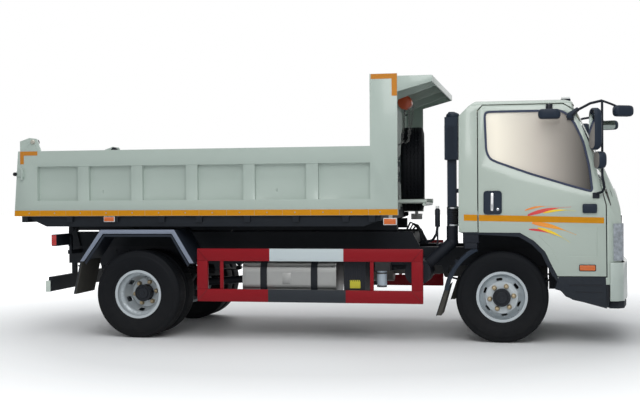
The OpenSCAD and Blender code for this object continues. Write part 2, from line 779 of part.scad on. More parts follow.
module mirror_set() {
    for (m = mirror_heads)
        translate([front_x + m[0], m[1], m[2]]) rotate([0, 0, m[6]])
            translate([-m[3], -m[4], -m[5]] / 2) cube([m[3], m[4], m[5]]);
    // Clamps of the main mirror on the upright tube
    for (z = [1850, 2075])
        box([front_x + 850, mirror_y - 38, z - 14], [front_x + 905, mirror_y - 2, z + 14]);
    // Upright tube, with its arms to the door's upper and lower brackets
    translate([front_x + 900, mirror_y - 20, 1530]) cylinder(d = 22, h = 690);
    tube([front_x + 645, cab_y - 44, 2100], [front_x + 900, mirror_y - 20, 2215], 24);
    tube([front_x + 858, cab_y + 6, 1385], [front_x + 900, mirror_y - 20, 1535], 24);
    tube([front_x + 900, mirror_y - 20, 2215], [front_x + 1060, mirror_y - 60, 2140], 20);
    tube([front_x + 438, cab_y - 60, 2190], [front_x + 438, mirror_y - 45, 2140], 16);
    difference() {
        union() {
            box([front_x + 600, cab_y - 90, 2050], [front_x + 660, cab_y - 30, 2120]);
            box([front_x + 815, cab_y - 60, 1325], [front_x + 885, cab_y + 14, 1410]);
            box([front_x + 415, cab_y - 110, 2165], [front_x + 461, cab_y - 50, 2205]);
        }
        cab_form(-seat_gap);
    }
}

// A round tube from a to b
module tube(a, b, d) {
    v = b - a;
    translate(a) rotate([0, acos(v[2] / norm(v)), atan2(v[1], v[0])]) cylinder(d = d, h = norm(v));
}

module door_right() color("#c3cfc6") mirror([0, 1, 0]) door_panel();
module door_left() color("#c3cfc6") door_panel();
module door_right_glass() color("#3a332c") mirror([0, 1, 0]) door_pane();
module door_left_glass() color("#3a332c") door_pane();
module mirrors_right() color("#15181c") mirror([0, 1, 0]) mirror_set();
module mirrors_left() color("#15181c") mirror_set();

// ---------- Wheels ----------

rim_half = 88;
disc_out = twin_spacing / 2;
disc_t = 12;
nut_turn = 8;

// Tyre about the Z axis, its middle at z = 0
module tyre() {
    bead = rim_d / 2 - 14;
    half = tyre_w / 2;
    tread = half - 24;
    rotate_extrude($fn = 96)
        polygon([[bead, -rim_half + 8], [bead + 18, -rim_half - 6], [bead + 60, -half + 10],
                 [tyre_r - 90, -half], [tyre_r - 40, -half + 8], [tyre_r - 8, -tread],
                 [tyre_r, -tread + 12], [tyre_r, tread - 12], [tyre_r - 8, tread],
                 [tyre_r - 40, half - 8], [tyre_r - 90, half], [bead + 60, half - 10],
                 [bead + 18, rim_half + 6], [bead, rim_half - 8]]);
}

// Rim about the Z axis, its disc bulging towards +Z
module rim() {
    bead = rim_d / 2 - 14;
    difference() {
        rotate_extrude($fn = 96)
            polygon([[bead - 0.3, -rim_half], [rim_d / 2, -rim_half - 3.3], [rim_d / 2, -rim_half - 12],
                     [bead - 10, -rim_half - 10], [bead - 16, -40], [bead - 44, -20],
                     [bead - 44, 30], [bead - 52, 56], [140, disc_out - disc_t],
                     [82, disc_out - disc_t], [82, disc_out],
                     [148, disc_out], [bead - 40, 66], [bead - 16, 52], [bead - 10, rim_half + 10],
                     [rim_d / 2, rim_half + 12], [rim_d / 2, rim_half + 3.3], [bead - 0.3, rim_half],
                     [bead - 8, 40], [bead - 34, 22], [bead - 34, -14], [bead - 8, -36]]);
        // Hand holes through the sloping part of the disc
        for (i = [0 : 5])
            rotate([0, 0, 60 * i + nut_turn + 30]) translate([166, 0, 40]) {
                translate([0, -16, 0]) cylinder(d = 26, h = 80);
                translate([0, 16, 0]) cylinder(d = 26, h = 80);
                translate([-13, -16, 0]) cube([26, 32, 80]);
            }
    }
    for (i = [0 : wheel_nuts - 1])
        rotate([0, 0, 360 * i / wheel_nuts + nut_turn]) translate([nut_circle / 2, 0, disc_out - 1])
            cylinder(d = 30, h = 30);
}

// Hub about the Z axis with its bore for the spindle, from low to high
module hub(low, high, d) {
    difference() {
        union() {
            translate([0, 0, low]) cylinder(d = d, h = high - low);
            translate([0, 0, disc_out - disc_t - 20]) cylinder(d = 260, h = 20);
        }
        translate([0, 0, low - 1]) cylinder(d = spindle_d + 2 * fit, h = high - low - 29);
    }
}

module front_wheel_place(side) {
    translate([front_x, side * front_track / 2, tyre_r]) rotate([-90 * side, 0, 0]) children();
}

module front_tyre(side) color("#16181b") front_wheel_place(side) tyre();
module front_rim(side) color("#aebcc6") front_wheel_place(side) {
    rim();
    hub(-30, disc_out + 40, 160);
}

module rear_wheel_place(side, out) {
    y = rear_track / 2 + out * twin_spacing / 2;
    translate([rear_x, side * y, tyre_r]) rotate([90 * side * out, 0, 0]) children();
}

module rear_tyres(side) color("#16181b")
    for (out = [-1, 1]) rear_wheel_place(side, out) tyre();

module rear_rims(side) color("#aebcc6") {
    for (out = [-1, 1]) rear_wheel_place(side, out) rim();
    translate([rear_x, side * rear_track / 2, tyre_r]) rotate([-90 * side, 0, 0]) difference() {
        union() {
            translate([0, 0, -210]) cylinder(d = 300, h = 130);
            translate([0, 0, -90]) cylinder(d = 160, h = 190);
            translate([0, 0, -disc_t - 20]) cylinder(d = 260, h = 20);
        }
        translate([0, 0, -211]) cylinder(d = spindle_d + 2 * fit, h = 281);
    }
}

module front_tyre_right() front_tyre(-1);
module front_tyre_left() front_tyre(1);
module front_rim_right() front_rim(-1);
module front_rim_left() front_rim(1);
module rear_tyres_right() rear_tyres(-1);
module rear_tyres_left() rear_tyres(1);
module rear_rims_right() rear_rims(-1);
module rear_rims_left() rear_rims(1);

module knuckle() {
    low = tyre_r - 90;
    translate([front_x, kingpin_y, low]) cylinder(d = kingpin_d, h = 150);
    translate([front_x, kingpin_y, low]) cylinder(d = 84, h = 28);
    translate([front_x, kingpin_y, tyre_r + 28]) cylinder(d = 84, h = 30);
    box([front_x - 50, kingpin_y + 46, low], [front_x + 50, kingpin_y + 70, tyre_r + 58]);
    box([front_x - 40, kingpin_y, low], [front_x + 40, kingpin_y + 50, low + 28]);
    box([front_x - 40, kingpin_y, tyre_r + 28], [front_x + 40, kingpin_y + 50, tyre_r + 58]);
    bar_y(front_x, tyre_r, kingpin_y + 60, front_track / 2 + disc_out - 30, spindle_d);
    // Brake back plate
    bar_y(front_x, tyre_r, kingpin_y + 60, kingpin_y + 76, 290);
}

module knuckle_right() color("#1c1f22") mirror([0, 1, 0]) knuckle();
module knuckle_left() color("#1c1f22") knuckle();

// ---------- Dump body ----------

rib_x = [-548, 10, 572, 1145, 1762];
floor_bearers = [-1180, -700, -220, 260, 640, 1120, 1600, 2080, 2330];

module bed_floor() color("#2a3036") {
    low = bed_bottom - bearer_h;
    box([bed_rear + gate_t + 12, -bed_in_y, floor_top - 12], [board_front - board_t, bed_in_y, floor_top]);
    for (x = floor_bearers)
        box([rear_x + x - 30, -bed_in_y, low], [rear_x + x + 30, bed_in_y, floor_top - 11]);
    for (x = floor_bearers)
        box_pair([rear_x + x - 30, bed_in_y - 1, low], [rear_x + x + 30, bed_y - 12, bed_bottom]);
    both_sides() difference() {
        union() {
            across([[hinge_x, subframe_top + bearer_gap], [rear_x + bed_front - 100,
                     subframe_top + bearer_gap], [rear_x + bed_front - 100, low + 1],
                    [hinge_x - 80, low + 1]],
                   rail_y - rail_flange, rail_y - 2);
            bar_y(hinge_x, hinge_z, rail_y - rail_flange + 0.5, rail_y - 2, hinge_boss_d);
        }
        bar_y(hinge_x, hinge_z, rail_y - rail_flange - 1, rail_y, hinge_pin_d + 2 * fit);
    }
    // Lugs for the hoist's rod under the middle of the floor
    box([hoist_top[0] - 110, -150, low], [hoist_top[0] + 110, 150, floor_top - 11]);
    both_sides() difference() {
        across([[hoist_top[0] - 50, low + 1], [hoist_top[0] - 34, hoist_top[1] - 24],
                [hoist_top[0] + 34, hoist_top[1] - 24], [hoist_top[0] + 50, low + 1]], 50, 80);
        bar_y(hoist_top[0], hoist_top[1], 0, 100, rod_pin_d);
    }
}

module bed_side() {
    y0 = bed_in_y;
    front = rear_x + bed_front;
    rear_edge = [[bed_rear, bed_bottom], [bed_rear + rear_slant, side_top]];
    // Panel, lower rail and top rail
    across([[bed_rear + 30, bed_bottom + 20], [board_front, bed_bottom + 20],
            [board_front, side_top - 5], [bed_rear + rear_slant + 30, side_top - 5]], y0, y0 + 8);
    box([bed_rear + 20, y0, bed_bottom], [front, bed_y, bed_bottom + lower_rail_h]);
    box([bed_rear + rear_slant + 20, y0, side_top - top_rail_h], [side_plate_x + 20, bed_y, side_top]);
    for (x = rib_x)
        box([rear_x + x - rib_w / 2, y0, bed_bottom + lower_rail_h - 5],
            [rear_x + x + rib_w / 2, bed_y - 6, side_top - top_rail_h + 5]);
    // Rear post with its slanting edge, and the ear of the tailgate's pin
    across([rear_edge[0], [bed_rear + 250, bed_bottom], [bed_rear + 250, side_top], rear_edge[1]],
           y0, bed_y);
    difference() {
        across([[gate_hinge_x - 140, side_top - 1], [gate_hinge_x + 85, side_top - 1],
                [gate_hinge_x + 40, side_top + 124], [gate_hinge_x - 40, side_top + 134],
                [gate_hinge_x - 140, side_top + 100]], y0 + 20, y0 + 40);
    }
    bar_y(gate_hinge_x, gate_hinge_z, y0 - 40, y0 + 50, gate_pin_d);
    // Side plate of the headboard: a post, and a wing in front of it
    box([side_plate_x, y0, bed_bottom + 20], [board_front, bed_y, board_top]);
    box([board_front - 1, bed_y - 14, bed_bottom + 20], [front, bed_y, board_top]);
}

module bed_sides() color("#adb9af") both_sides() bed_side();

module headboard() color("#adb9af") {
    box([board_front - board_t, -bed_in_y, floor_top], [board_front, bed_in_y, board_top]);
    // Stiffeners on the front
    for (y = [-760, 760])
        box([board_front - 1, y - 40, floor_top + 40], [board_front + 30, y + 40, board_top - 60]);
    // Hood over the spare wheel
    hood_z = board_top - 24;
    front = rear_x + bed_front;
    box([board_front - 1, -bed_in_y + 1, hood_z - 10], [front, bed_in_y - 1, hood_z]);
    box([board_front + 0.3, -bed_y + 14.3, hood_z - 10], [front + 1, bed_y - 14.3, hood_z]);
    box([front + 0.3, -bed_y, hood_z - 10], [front + hood_length, bed_y, hood_z]);
    box([front + hood_length - 10, -bed_y, hood_z - 58], [front + hood_length, bed_y, hood_z]);
    both_sides() across([[front + 0.3, hood_z - 146], [front + hood_length, hood_z - 58],
                         [front + hood_length, hood_z], [front + 0.3, hood_z]], bed_y - 10, bed_y);
    for (y = [-620, 0, 620])
        across([[board_front - 1, hood_z - 220], [board_front + 8, hood_z - 220],
                [front + hood_length - 9, hood_z - 50], [front + hood_length - 9, hood_z - 1],
                [board_front - 1, hood_z - 1]], y - 5, y + 5);
}

module spare_place() {
    translate([spare_x, 0, spare_z]) rotate([0, 0, spare_turn]) rotate([0, 90, 0]) children();
}
module spare_tyre() color("#16181b") spare_place() tyre();
module spare_rim() color("#aebcc6") spare_place() mirror([0, 0, 1]) rim();

arm_d = 44;
arm_y = 315;
arm_shift = (tyre_w / 2 - 36) * sin(spare_turn);
arm_reach = (arm_y - arm_shift) / cos(spare_turn);
arm_z = spare_z - sqrt(pow(tyre_r + arm_d / 2 + 0.6, 2) - arm_reach * arm_reach);
module spare_carrier() color("#c8d2cc") {
    both_sides() {
        bar_x(board_front, spare_x + 172, arm_y, arm_z, arm_d);
        box([board_front, arm_y - 60, arm_z - 90], [board_front + 12, arm_y + 60, arm_z + 60]);
    }
    bar_y(spare_x + 150, arm_z - 30, -arm_y - 30, arm_y + 30, 34);
    // Plate and stud that hold the wheel's disc to the headboard
    box([board_front, -110, spare_z - 150], [board_front + 14, 110, spare_z + 150]);
}

hoist_x = spare_x - 40;
chain_y = -350;
chain_z = board_top - 215;
module chain_hoist() color("#c6512c") {
    translate([hoist_x, chain_y, chain_z]) rotate([0, 90, 0]) {
        translate([0, 0, 20]) cylinder(d = 150, h = 62);
        translate([0, 0, -62]) cylinder(d = 140, h = 40);
        translate([0, 0, -30]) cylinder(d = 90, h = 60);
    }
    translate([hoist_x, chain_y, chain_z + 40]) cylinder(d = 24, h = board_top - 34.3 - chain_z - 40);
    translate([hoist_x, chain_y, chain_z - 150]) cylinder(d = 20, h = 120);
}

function rear_at(z) = bed_rear + (z - bed_bottom) * rear_slant / side_height;
module tailgate() color("#adb9af") {
    width = bed_in_y - 6;
    across([[rear_at(bed_bottom) + 2, bed_bottom + 8], [rear_at(bed_bottom) + gate_t, bed_bottom + 8],
            [rear_at(side_top) + gate_t, side_top], [rear_at(side_top) + 2, side_top]], -width, width);
    both_sides() difference() {
        union() {
            across([[gate_hinge_x - 150, side_top - 2], [gate_hinge_x - 100, side_top - 2],
                    [gate_hinge_x + 26, gate_hinge_z - 12], [gate_hinge_x + 10, gate_hinge_z + 28],
                    [gate_hinge_x - 60, gate_hinge_z + 20], [gate_hinge_x - 150, side_top + 60]],
                   width - 30, width);
            bar_y(gate_hinge_x, gate_hinge_z, width - 30, width, 64);
        }
        bar_y(gate_hinge_x, gate_hinge_z, width - 60, width + 10, gate_pin_d + 2 * fit);
    }
}

// Hoist cylinder and rod, along X from the base pin
module hoist_place() {
    translate([hoist_base[0], 0, hoist_base[1]]) rotate([0, -hoist_angle, 0]) children();
}

tube_end = 1060;
module hoist_tube() color("#30353a") hoist_place() difference() {
    union() {
        bar_y(0, 0, -40, 40, hoist_eye_d);
        bar_x(30, tube_end, 0, 0, hoist_tube_d);
    }
    bar_y(0, 0, -41, 41, hoist_pin_d + 2 * fit);
    bar_x(90, tube_end + 1, 0, 0, hoist_rod_d + 2 * fit);
}

module hoist_rod() color("#b9bec2") hoist_place() {
    bar_x(110, hoist_length - 30, 0, 0, hoist_rod_d);
    difference() {
        bar_y(hoist_length, 0, -40, 40, 70);
        bar_y(hoist_length, 0, -41, 41, rod_pin_d);
    }
}

ladder_frame();
tipper_subframe();
engine();
gearbox();
propshaft();
front_axle();
rear_axle();
leaf_springs();
fuel_tank();
tank_straps();
battery_box();
fuel_filter();
air_cleaner();
silencer();
guard_rails(-1);  // guard_rails_right
guard_rails(1);  // guard_rails_left
guard_posts(-1);  // guard_posts_right
guard_posts(1);  // guard_posts_left
rear_fenders();
underrun_bar();
rear_lamps();
front_mudguards();
cab_shell();
cab_glass();
grille_panel();
headlamps();
front_bumper();
step_panels();
dashboard();
seats();
snorkel();
steering_wheel();
door_right();
door_right_glass();
mirrors_right();
door_left();
door_left_glass();
mirrors_left();
knuckle_right();
knuckle_left();
front_tyre_right();
front_rim_right();
front_tyre_left();
front_rim_left();
rear_tyres_right();
rear_rims_right();
rear_tyres_left();
rear_rims_left();
bed_floor();
bed_sides();
headboard();
spare_tyre();
spare_rim();
spare_carrier();
chain_hoist();
tailgate();
hoist_tube();
hoist_rod();
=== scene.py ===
"""Looks of a light dump truck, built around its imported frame.

Places are in millimetres from the rear axle (x, forward), the middle plane (y, to the left)
and the ground (z), which is how a body builder measures a truck.
"""
import json
import math

import bmesh
import bpy
from mathutils import Matrix, Vector

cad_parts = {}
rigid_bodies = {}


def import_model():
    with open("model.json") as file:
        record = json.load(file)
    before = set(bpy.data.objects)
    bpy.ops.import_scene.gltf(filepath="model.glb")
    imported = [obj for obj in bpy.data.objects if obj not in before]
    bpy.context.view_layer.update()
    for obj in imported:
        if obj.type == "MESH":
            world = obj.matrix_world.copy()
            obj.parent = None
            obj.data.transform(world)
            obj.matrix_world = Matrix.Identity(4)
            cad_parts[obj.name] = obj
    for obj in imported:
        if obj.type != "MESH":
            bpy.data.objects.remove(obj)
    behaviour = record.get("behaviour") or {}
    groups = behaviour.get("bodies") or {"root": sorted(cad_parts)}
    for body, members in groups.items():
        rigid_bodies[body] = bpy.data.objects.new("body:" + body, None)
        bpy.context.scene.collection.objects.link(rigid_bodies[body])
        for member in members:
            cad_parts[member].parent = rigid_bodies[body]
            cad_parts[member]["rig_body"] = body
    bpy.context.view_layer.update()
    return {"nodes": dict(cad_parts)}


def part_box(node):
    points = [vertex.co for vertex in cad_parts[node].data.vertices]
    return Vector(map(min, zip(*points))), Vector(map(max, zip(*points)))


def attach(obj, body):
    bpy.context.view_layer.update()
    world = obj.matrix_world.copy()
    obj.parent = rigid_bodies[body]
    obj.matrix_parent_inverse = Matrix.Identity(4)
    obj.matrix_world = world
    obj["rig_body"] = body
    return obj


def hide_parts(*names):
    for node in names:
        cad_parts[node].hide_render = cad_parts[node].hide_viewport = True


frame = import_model()

MM = 0.001
RIGHT, LEFT = -1, 1
SIDES = ((RIGHT, "right"), (LEFT, "left"))


def middle(node):
    low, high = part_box(node)
    return (low + high) / 2


REAR_X = middle("rear_tyres_right").x
FRONT_X = middle("front_tyre_right").x
WHEELBASE = (FRONT_X - REAR_X) / MM
TYRE_R = middle("rear_tyres_right").z / MM


def place(x, y, z):
    """A point given from the rear axle, the middle plane and the ground, in metres."""
    return Vector((REAR_X + x * MM, y * MM, z * MM))


def edges(node):
    """Lowest and highest corner of a frame node, in the millimetres of this script."""
    low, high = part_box(node)
    shift = Vector((REAR_X, 0, 0))
    return (low - shift) / MM, (high - shift) / MM


# ---------------------------------------------------------------- camera, floor and light

CAMERA_SPOT = (3921, -11154, 1396)
CAMERA_YAW, CAMERA_PITCH, CAMERA_ROLL = (math.radians(a) for a in (11.70, -0.67, -0.405))
LENS, SENSOR_WIDTH = 61.26, 36


def set_camera():
    """Stands to the right of the truck, level with its waist, and looks slightly back."""
    camera_data = bpy.data.cameras.new("camera")
    camera_data.lens = LENS
    camera_data.sensor_width = SENSOR_WIDTH
    camera_data.clip_end = 200
    camera = bpy.data.objects.new("camera", camera_data)
    bpy.context.scene.collection.objects.link(camera)
    turn = Matrix.Rotation(CAMERA_YAW, 4, "Z") @ Matrix.Rotation(math.pi / 2 + CAMERA_PITCH, 4, "X")
    roll = Matrix.Rotation(CAMERA_ROLL, 4, "Z")
    camera.matrix_world = Matrix.Translation(place(*CAMERA_SPOT)) @ turn @ roll
    bpy.context.scene.camera = camera


SKY_COLOUR, SKY_STRENGTH = (0.93, 0.965, 1.0, 1), 0.38
LAMP_AIM = (1300, 0, 1100)
# Name, place, size in metres, power in watts
LAMPS = (
    ("key", (3600, -8200, 6800), 6.0, 375),
    ("top", (600, -600, 8200), 8.0, 250),
    ("back", (-2500, 7600, 5200), 6.0, 170),
)


def set_light():
    """A dim sky that shows white to the camera and in reflections, and three soft lamps."""
    world = bpy.data.worlds.new("studio")
    bpy.context.scene.world = world
    world.use_nodes = True
    tree = world.node_tree
    sky = tree.nodes["Background"]
    sky.inputs["Color"].default_value = SKY_COLOUR
    sky.inputs["Strength"].default_value = SKY_STRENGTH
    white = node(tree, "ShaderNodeBackground", values={"Color": (1, 1, 1, 1), "Strength": 1.0})
    ray = tree.nodes.new("ShaderNodeLightPath").outputs
    either = node(tree, "ShaderNodeMath", [(0, ray["Is Camera Ray"]), (1, ray["Is Transmission Ray"])],
                  operation="MAXIMUM")
    shown = node(tree, "ShaderNodeMath", [(0, either.outputs[0]), (1, ray["Is Glossy Ray"])],
                 operation="MAXIMUM")
    mix = node(tree, "ShaderNodeMixShader", [(0, shown.outputs[0]), (1, sky.outputs[0]),
                                             (2, white.outputs[0])])
    tree.links.new(mix.outputs[0], tree.nodes["World Output"].inputs["Surface"])
    for name, spot, size, power in LAMPS:
        data = bpy.data.lights.new(name, "AREA")
        data.size = size
        data.energy = power
        lamp = bpy.data.objects.new(name, data)
        bpy.context.scene.collection.objects.link(lamp)
        lamp.location = place(*spot)
        aim = place(*LAMP_AIM) - lamp.location
        lamp.rotation_euler = aim.to_track_quat("-Z", "Y").to_euler()


FLOOR_HALF = 60
# Distances in metres between which the floor turns from its own grey to the background's white
FADE_START, FADE_END, FADE_STRENGTH = 3.0, 9.0, 0.9


def lay_floor():
    """A pale floor that keeps the truck's shadow."""
    size = FLOOR_HALF
    mesh = bpy.data.meshes.new("floor")
    mesh.from_pydata([(-size, -size, 0), (size, -size, 0), (size, size, 0), (-size, size, 0)], [],
                     [(0, 1, 2, 3)])
    floor = bpy.data.objects.new("floor", mesh)
    bpy.context.scene.collection.objects.link(floor)
    material = bpy.data.materials.new("pale_floor")
    material.use_nodes = True
    tree = material.node_tree
    shader = tree.nodes["Principled BSDF"]
    shader.inputs["Roughness"].default_value = 0.6
    shader.inputs["Specular IOR Level"].default_value = 0.15
    grain = tree.nodes.new("ShaderNodeTexNoise")
    grain.inputs["Scale"].default_value = 3.0
    ramp = tree.nodes.new("ShaderNodeValToRGB")
    ramp.color_ramp.elements[0].color = (0.86, 0.87, 0.875, 1)
    ramp.color_ramp.elements[1].color = (0.90, 0.905, 0.91, 1)
    tree.links.new(grain.outputs["Fac"], ramp.inputs["Fac"])
    tree.links.new(ramp.outputs["Color"], shader.inputs["Base Color"])
    # The floor fades into the white background away from the truck
    place_out = tree.nodes.new("ShaderNodeTexCoord").outputs["Object"]
    reach = node(tree, "ShaderNodeVectorMath", [(0, place_out)], operation="LENGTH")
    fade = node(tree, "ShaderNodeMapRange", [("Value", reach.outputs["Value"])],
                values={"From Min": FADE_START, "From Max": FADE_END, "To Min": 0.0,
                        "To Max": FADE_STRENGTH})
    seen = tree.nodes.new("ShaderNodeLightPath")
    glow = node(tree, "ShaderNodeMath", [(0, fade.outputs[0]), (1, seen.outputs["Is Camera Ray"])],
                operation="MULTIPLY")
    tree.links.new(glow.outputs[0], shader.inputs["Emission Strength"])
    shader.inputs["Emission Color"].default_value = (1, 1, 1, 1)
    mesh.materials.append(material)


# ---------------------------------------------------------------- shared shader effects

def new_group(name, inputs, outputs):
    """An empty shader group. Inputs are (name, kind, value); outputs are (name, kind)."""
    group = bpy.data.node_groups.new(name, "ShaderNodeTree")
    for label, kind, value in inputs:
        socket = group.interface.new_socket(label, in_out="INPUT", socket_type="NodeSocket" + kind)
        if value is not None:
            socket.default_value = value
    for label, kind in outputs:
        group.interface.new_socket(label, in_out="OUTPUT", socket_type="NodeSocket" + kind)
    return group, group.nodes.new("NodeGroupInput"), group.nodes.new("NodeGroupOutput")


def node(tree, kind, links=(), **settings):
    """Adds a node. links are (socket, source), values are its constants, settings its own properties."""
    made = tree.nodes.new(kind)
    values = settings.pop("values", {})
    for key, value in settings.items():
        setattr(made, key, value)
    for key, value in values.items():
        made.inputs[key].default_value = value
    for key, source in links:
        tree.links.new(source, made.inputs[key])
    return made


def weathering_group():
    """Dust that settles low down, and a broad mottle, both as masks from 0 to 1."""
    group, start, end = new_group(
        "weathering",
        [("Place", "Vector", None), ("Dust Top", "Float", 1.0), ("Mottle Scale", "Float", 2.0)],
        [("Dust", "Float"), ("Mottle", "Float")],
    )
    broad = node(group, "ShaderNodeTexNoise", [("Vector", start.outputs["Place"]),
                                               ("Scale", start.outputs["Mottle Scale"])],
                 values={"Detail": 4.0, "Roughness": 0.55})
    fine = node(group, "ShaderNodeTexNoise", [("Vector", start.outputs["Place"])],
                values={"Scale": 14.0, "Detail": 5.0, "Roughness": 0.65})
    split = node(group, "ShaderNodeSeparateXYZ", [(0, start.outputs["Place"])])
    fall = node(group, "ShaderNodeMapRange", [("Value", split.outputs["Z"]),
                                              ("From Min", start.outputs["Dust Top"])],
                values={"From Max": 0.0, "To Min": 0.0, "To Max": 1.0})
    patchy = node(group, "ShaderNodeMath", [(0, fall.outputs[0]), (1, fine.outputs["Fac"])],
                  operation="MULTIPLY")
    group.links.new(patchy.outputs[0], end.inputs["Dust"])
    group.links.new(broad.outputs["Fac"], end.inputs["Mottle"])
    return group


def grain_group():
    """Height of a fine skin, such as orange peel on paint or the grain of moulded plastic."""
    group, start, end = new_group(
        "skin_grain",
        [("Place", "Vector", None), ("Scale", "Float", 200.0), ("Coarse Share", "Float", 0.3)],
        [("Height", "Float")],
    )
    fine = node(group, "ShaderNodeTexNoise", [("Vector", start.outputs["Place"]),
                                              ("Scale", start.outputs["Scale"])],
                values={"Detail": 3.0})
    wide = node(group, "ShaderNodeMath", [(0, start.outputs["Scale"])], operation="MULTIPLY",
                values={1: 0.12})
    coarse = node(group, "ShaderNodeTexNoise", [("Vector", start.outputs["Place"]),
                                                ("Scale", wide.outputs[0])],
                  values={"Detail": 2.0})
    mixed = node(group, "ShaderNodeMix", [("Factor", start.outputs["Coarse Share"]),
                                          (2, fine.outputs["Fac"]),
                                          (3, coarse.outputs["Fac"])])
    group.links.new(mixed.outputs[0], end.inputs["Height"])
    return group


def stretch_group():
    """Mask that is 1 where a value lies between two limits, with soft ends."""
    group, start, end = new_group(
        "between",
        [("Value", "Float", 0.0), ("From", "Float", 0.0), ("To", "Float", 1.0),
         ("Softness", "Float", 0.001)],
        [("Mask", "Float")],
    )
    rise_end = node(group, "ShaderNodeMath", [(0, start.outputs["From"]), (1, start.outputs["Softness"])],
                    operation="ADD")
    fall_start = node(group, "ShaderNodeMath", [(0, start.outputs["To"]), (1, start.outputs["Softness"])],
                      operation="SUBTRACT")
    rise = node(group, "ShaderNodeMapRange", [("Value", start.outputs["Value"]),
                                              ("From Min", start.outputs["From"]),
                                              ("From Max", rise_end.outputs[0])])
    fall = node(group, "ShaderNodeMapRange", [("Value", start.outputs["Value"]),
                                              ("From Min", fall_start.outputs[0]),
                                              ("From Max", start.outputs["To"])],
                                              values={"To Min": 1.0, "To Max": 0.0})
    both = node(group, "ShaderNodeMath", [(0, rise.outputs[0]), (1, fall.outputs[0])], operation="MULTIPLY")
    group.links.new(both.outputs[0], end.inputs["Mask"])
    return group


WEATHERING = weathering_group()
SKIN_GRAIN = grain_group()
BETWEEN = stretch_group()


def use_group(tree, group, links=(), **values):
    made = tree.nodes.new("ShaderNodeGroup")
    made.node_tree = group
    for key, value in values.items():
        made.inputs[key.replace("_", " ")].default_value = value
    for key, source in links:
        tree.links.new(source, made.inputs[key])
    return made


def blend_colour(tree, factor, first, second, mode="MIX"):
    """Colour mix; first and second are colours or sockets."""
    mix = tree.nodes.new("ShaderNodeMix")
    mix.data_type = "RGBA"
    mix.blend_type = mode
    if isinstance(factor, (int, float)):
        mix.inputs[0].default_value = factor
    else:
        tree.links.new(factor, mix.inputs[0])
    for index, colour in ((6, first), (7, second)):
        if isinstance(colour, bpy.types.NodeSocket):
            tree.links.new(colour, mix.inputs[index])
        else:
            mix.inputs[index].default_value = (*colour, 1)
    return mix.outputs[2]


DUST = (0.20, 0.185, 0.16)


class Finish:
    """One material: mottled colour, dust low down, varied roughness and a grained skin."""

    def __init__(self, name, colour, rough=0.4, metal=0.0, dust_top=0.9, dust_share=0.5, mottle=0.08,
                 mottle_scale=2.0, grain=200.0, depth=0.00005, coat=0.0, spread=0.1, **sockets):
        self.material = bpy.data.materials.new(name)
        self.material.use_nodes = True
        self.tree = self.material.node_tree
        self.shader = self.tree.nodes["Principled BSDF"]
        self.place = self.tree.nodes.new("ShaderNodeTexCoord").outputs["Object"]
        self.weather = use_group(self.tree, WEATHERING, [("Place", self.place)], Dust_Top=dust_top,
                                 Mottle_Scale=mottle_scale)
        dark = tuple(c * (1 - mottle) for c in colour)
        light = tuple(min(1.0, c * (1 + mottle)) for c in colour)
        self.colour = blend_colour(self.tree, self.weather.outputs["Mottle"], dark, light)
        self.share = dust_share
        self.shader.inputs["Metallic"].default_value = metal
        self.shader.inputs["Coat Weight"].default_value = coat
        self.shader.inputs["Coat Roughness"].default_value = 0.08
        self.shader.inputs["Specular IOR Level"].default_value = 0.5 if max(colour) > 0.1 else 0.16
        for key, value in sockets.items():
            self.shader.inputs[key.replace("_", " ")].default_value = value
        self.rough = node(self.tree, "ShaderNodeMapRange", [("Value", self.weather.outputs["Mottle"])],
                          values={"To Min": max(0.03, rough - spread / 2),
                                  "To Max": min(1.0, rough + spread / 2)}).outputs[0]
        skin = use_group(self.tree, SKIN_GRAIN, [("Place", self.place)], Scale=grain)
        self.bump = node(self.tree, "ShaderNodeBump", [("Height", skin.outputs["Height"])],
                         values={"Strength": 0.6, "Distance": depth})

    def axis(self, letter):
        return node(self.tree, "ShaderNodeSeparateXYZ", [(0, self.place)]).outputs[letter]

    def band(self, letter, low, high, soft=0.002):
        return use_group(self.tree, BETWEEN, [("Value", self.axis(letter))], From=low, To=high,
                         Softness=soft).outputs["Mask"]

    def times(self, *masks):
        product = masks[0]
        for mask in masks[1:]:
            product = node(self.tree, "ShaderNodeMath", [(0, product), (1, mask)],
                           operation="MULTIPLY").outputs[0]
        return product

    def paint(self, mask, colour):
        """Paints a colour where the mask is 1."""
        self.colour = blend_colour(self.tree, mask, self.colour, colour)

    def raise_skin(self, height, depth):
        """A second relief on top of the skin's grain."""
        self.bump = node(self.tree, "ShaderNodeBump", [("Height", height), ("Normal", self.bump.outputs[0])],
                         values={"Strength": 1.0, "Distance": depth})

    def done(self):
        share = node(self.tree, "ShaderNodeMath", [(0, self.weather.outputs["Dust"])], operation="MULTIPLY",
                     values={1: self.share}).outputs[0]
        self.tree.links.new(blend_colour(self.tree, share, self.colour, DUST),
                            self.shader.inputs["Base Color"])
        dulled = node(self.tree, "ShaderNodeMix", [(0, share), (2, self.rough)], values={3: 0.85}).outputs[0]
        self.tree.links.new(dulled, self.shader.inputs["Roughness"])
        self.tree.links.new(self.bump.outputs[0], self.shader.inputs["Normal"])
        return self.material


# ---------------------------------------------------------------- finishes

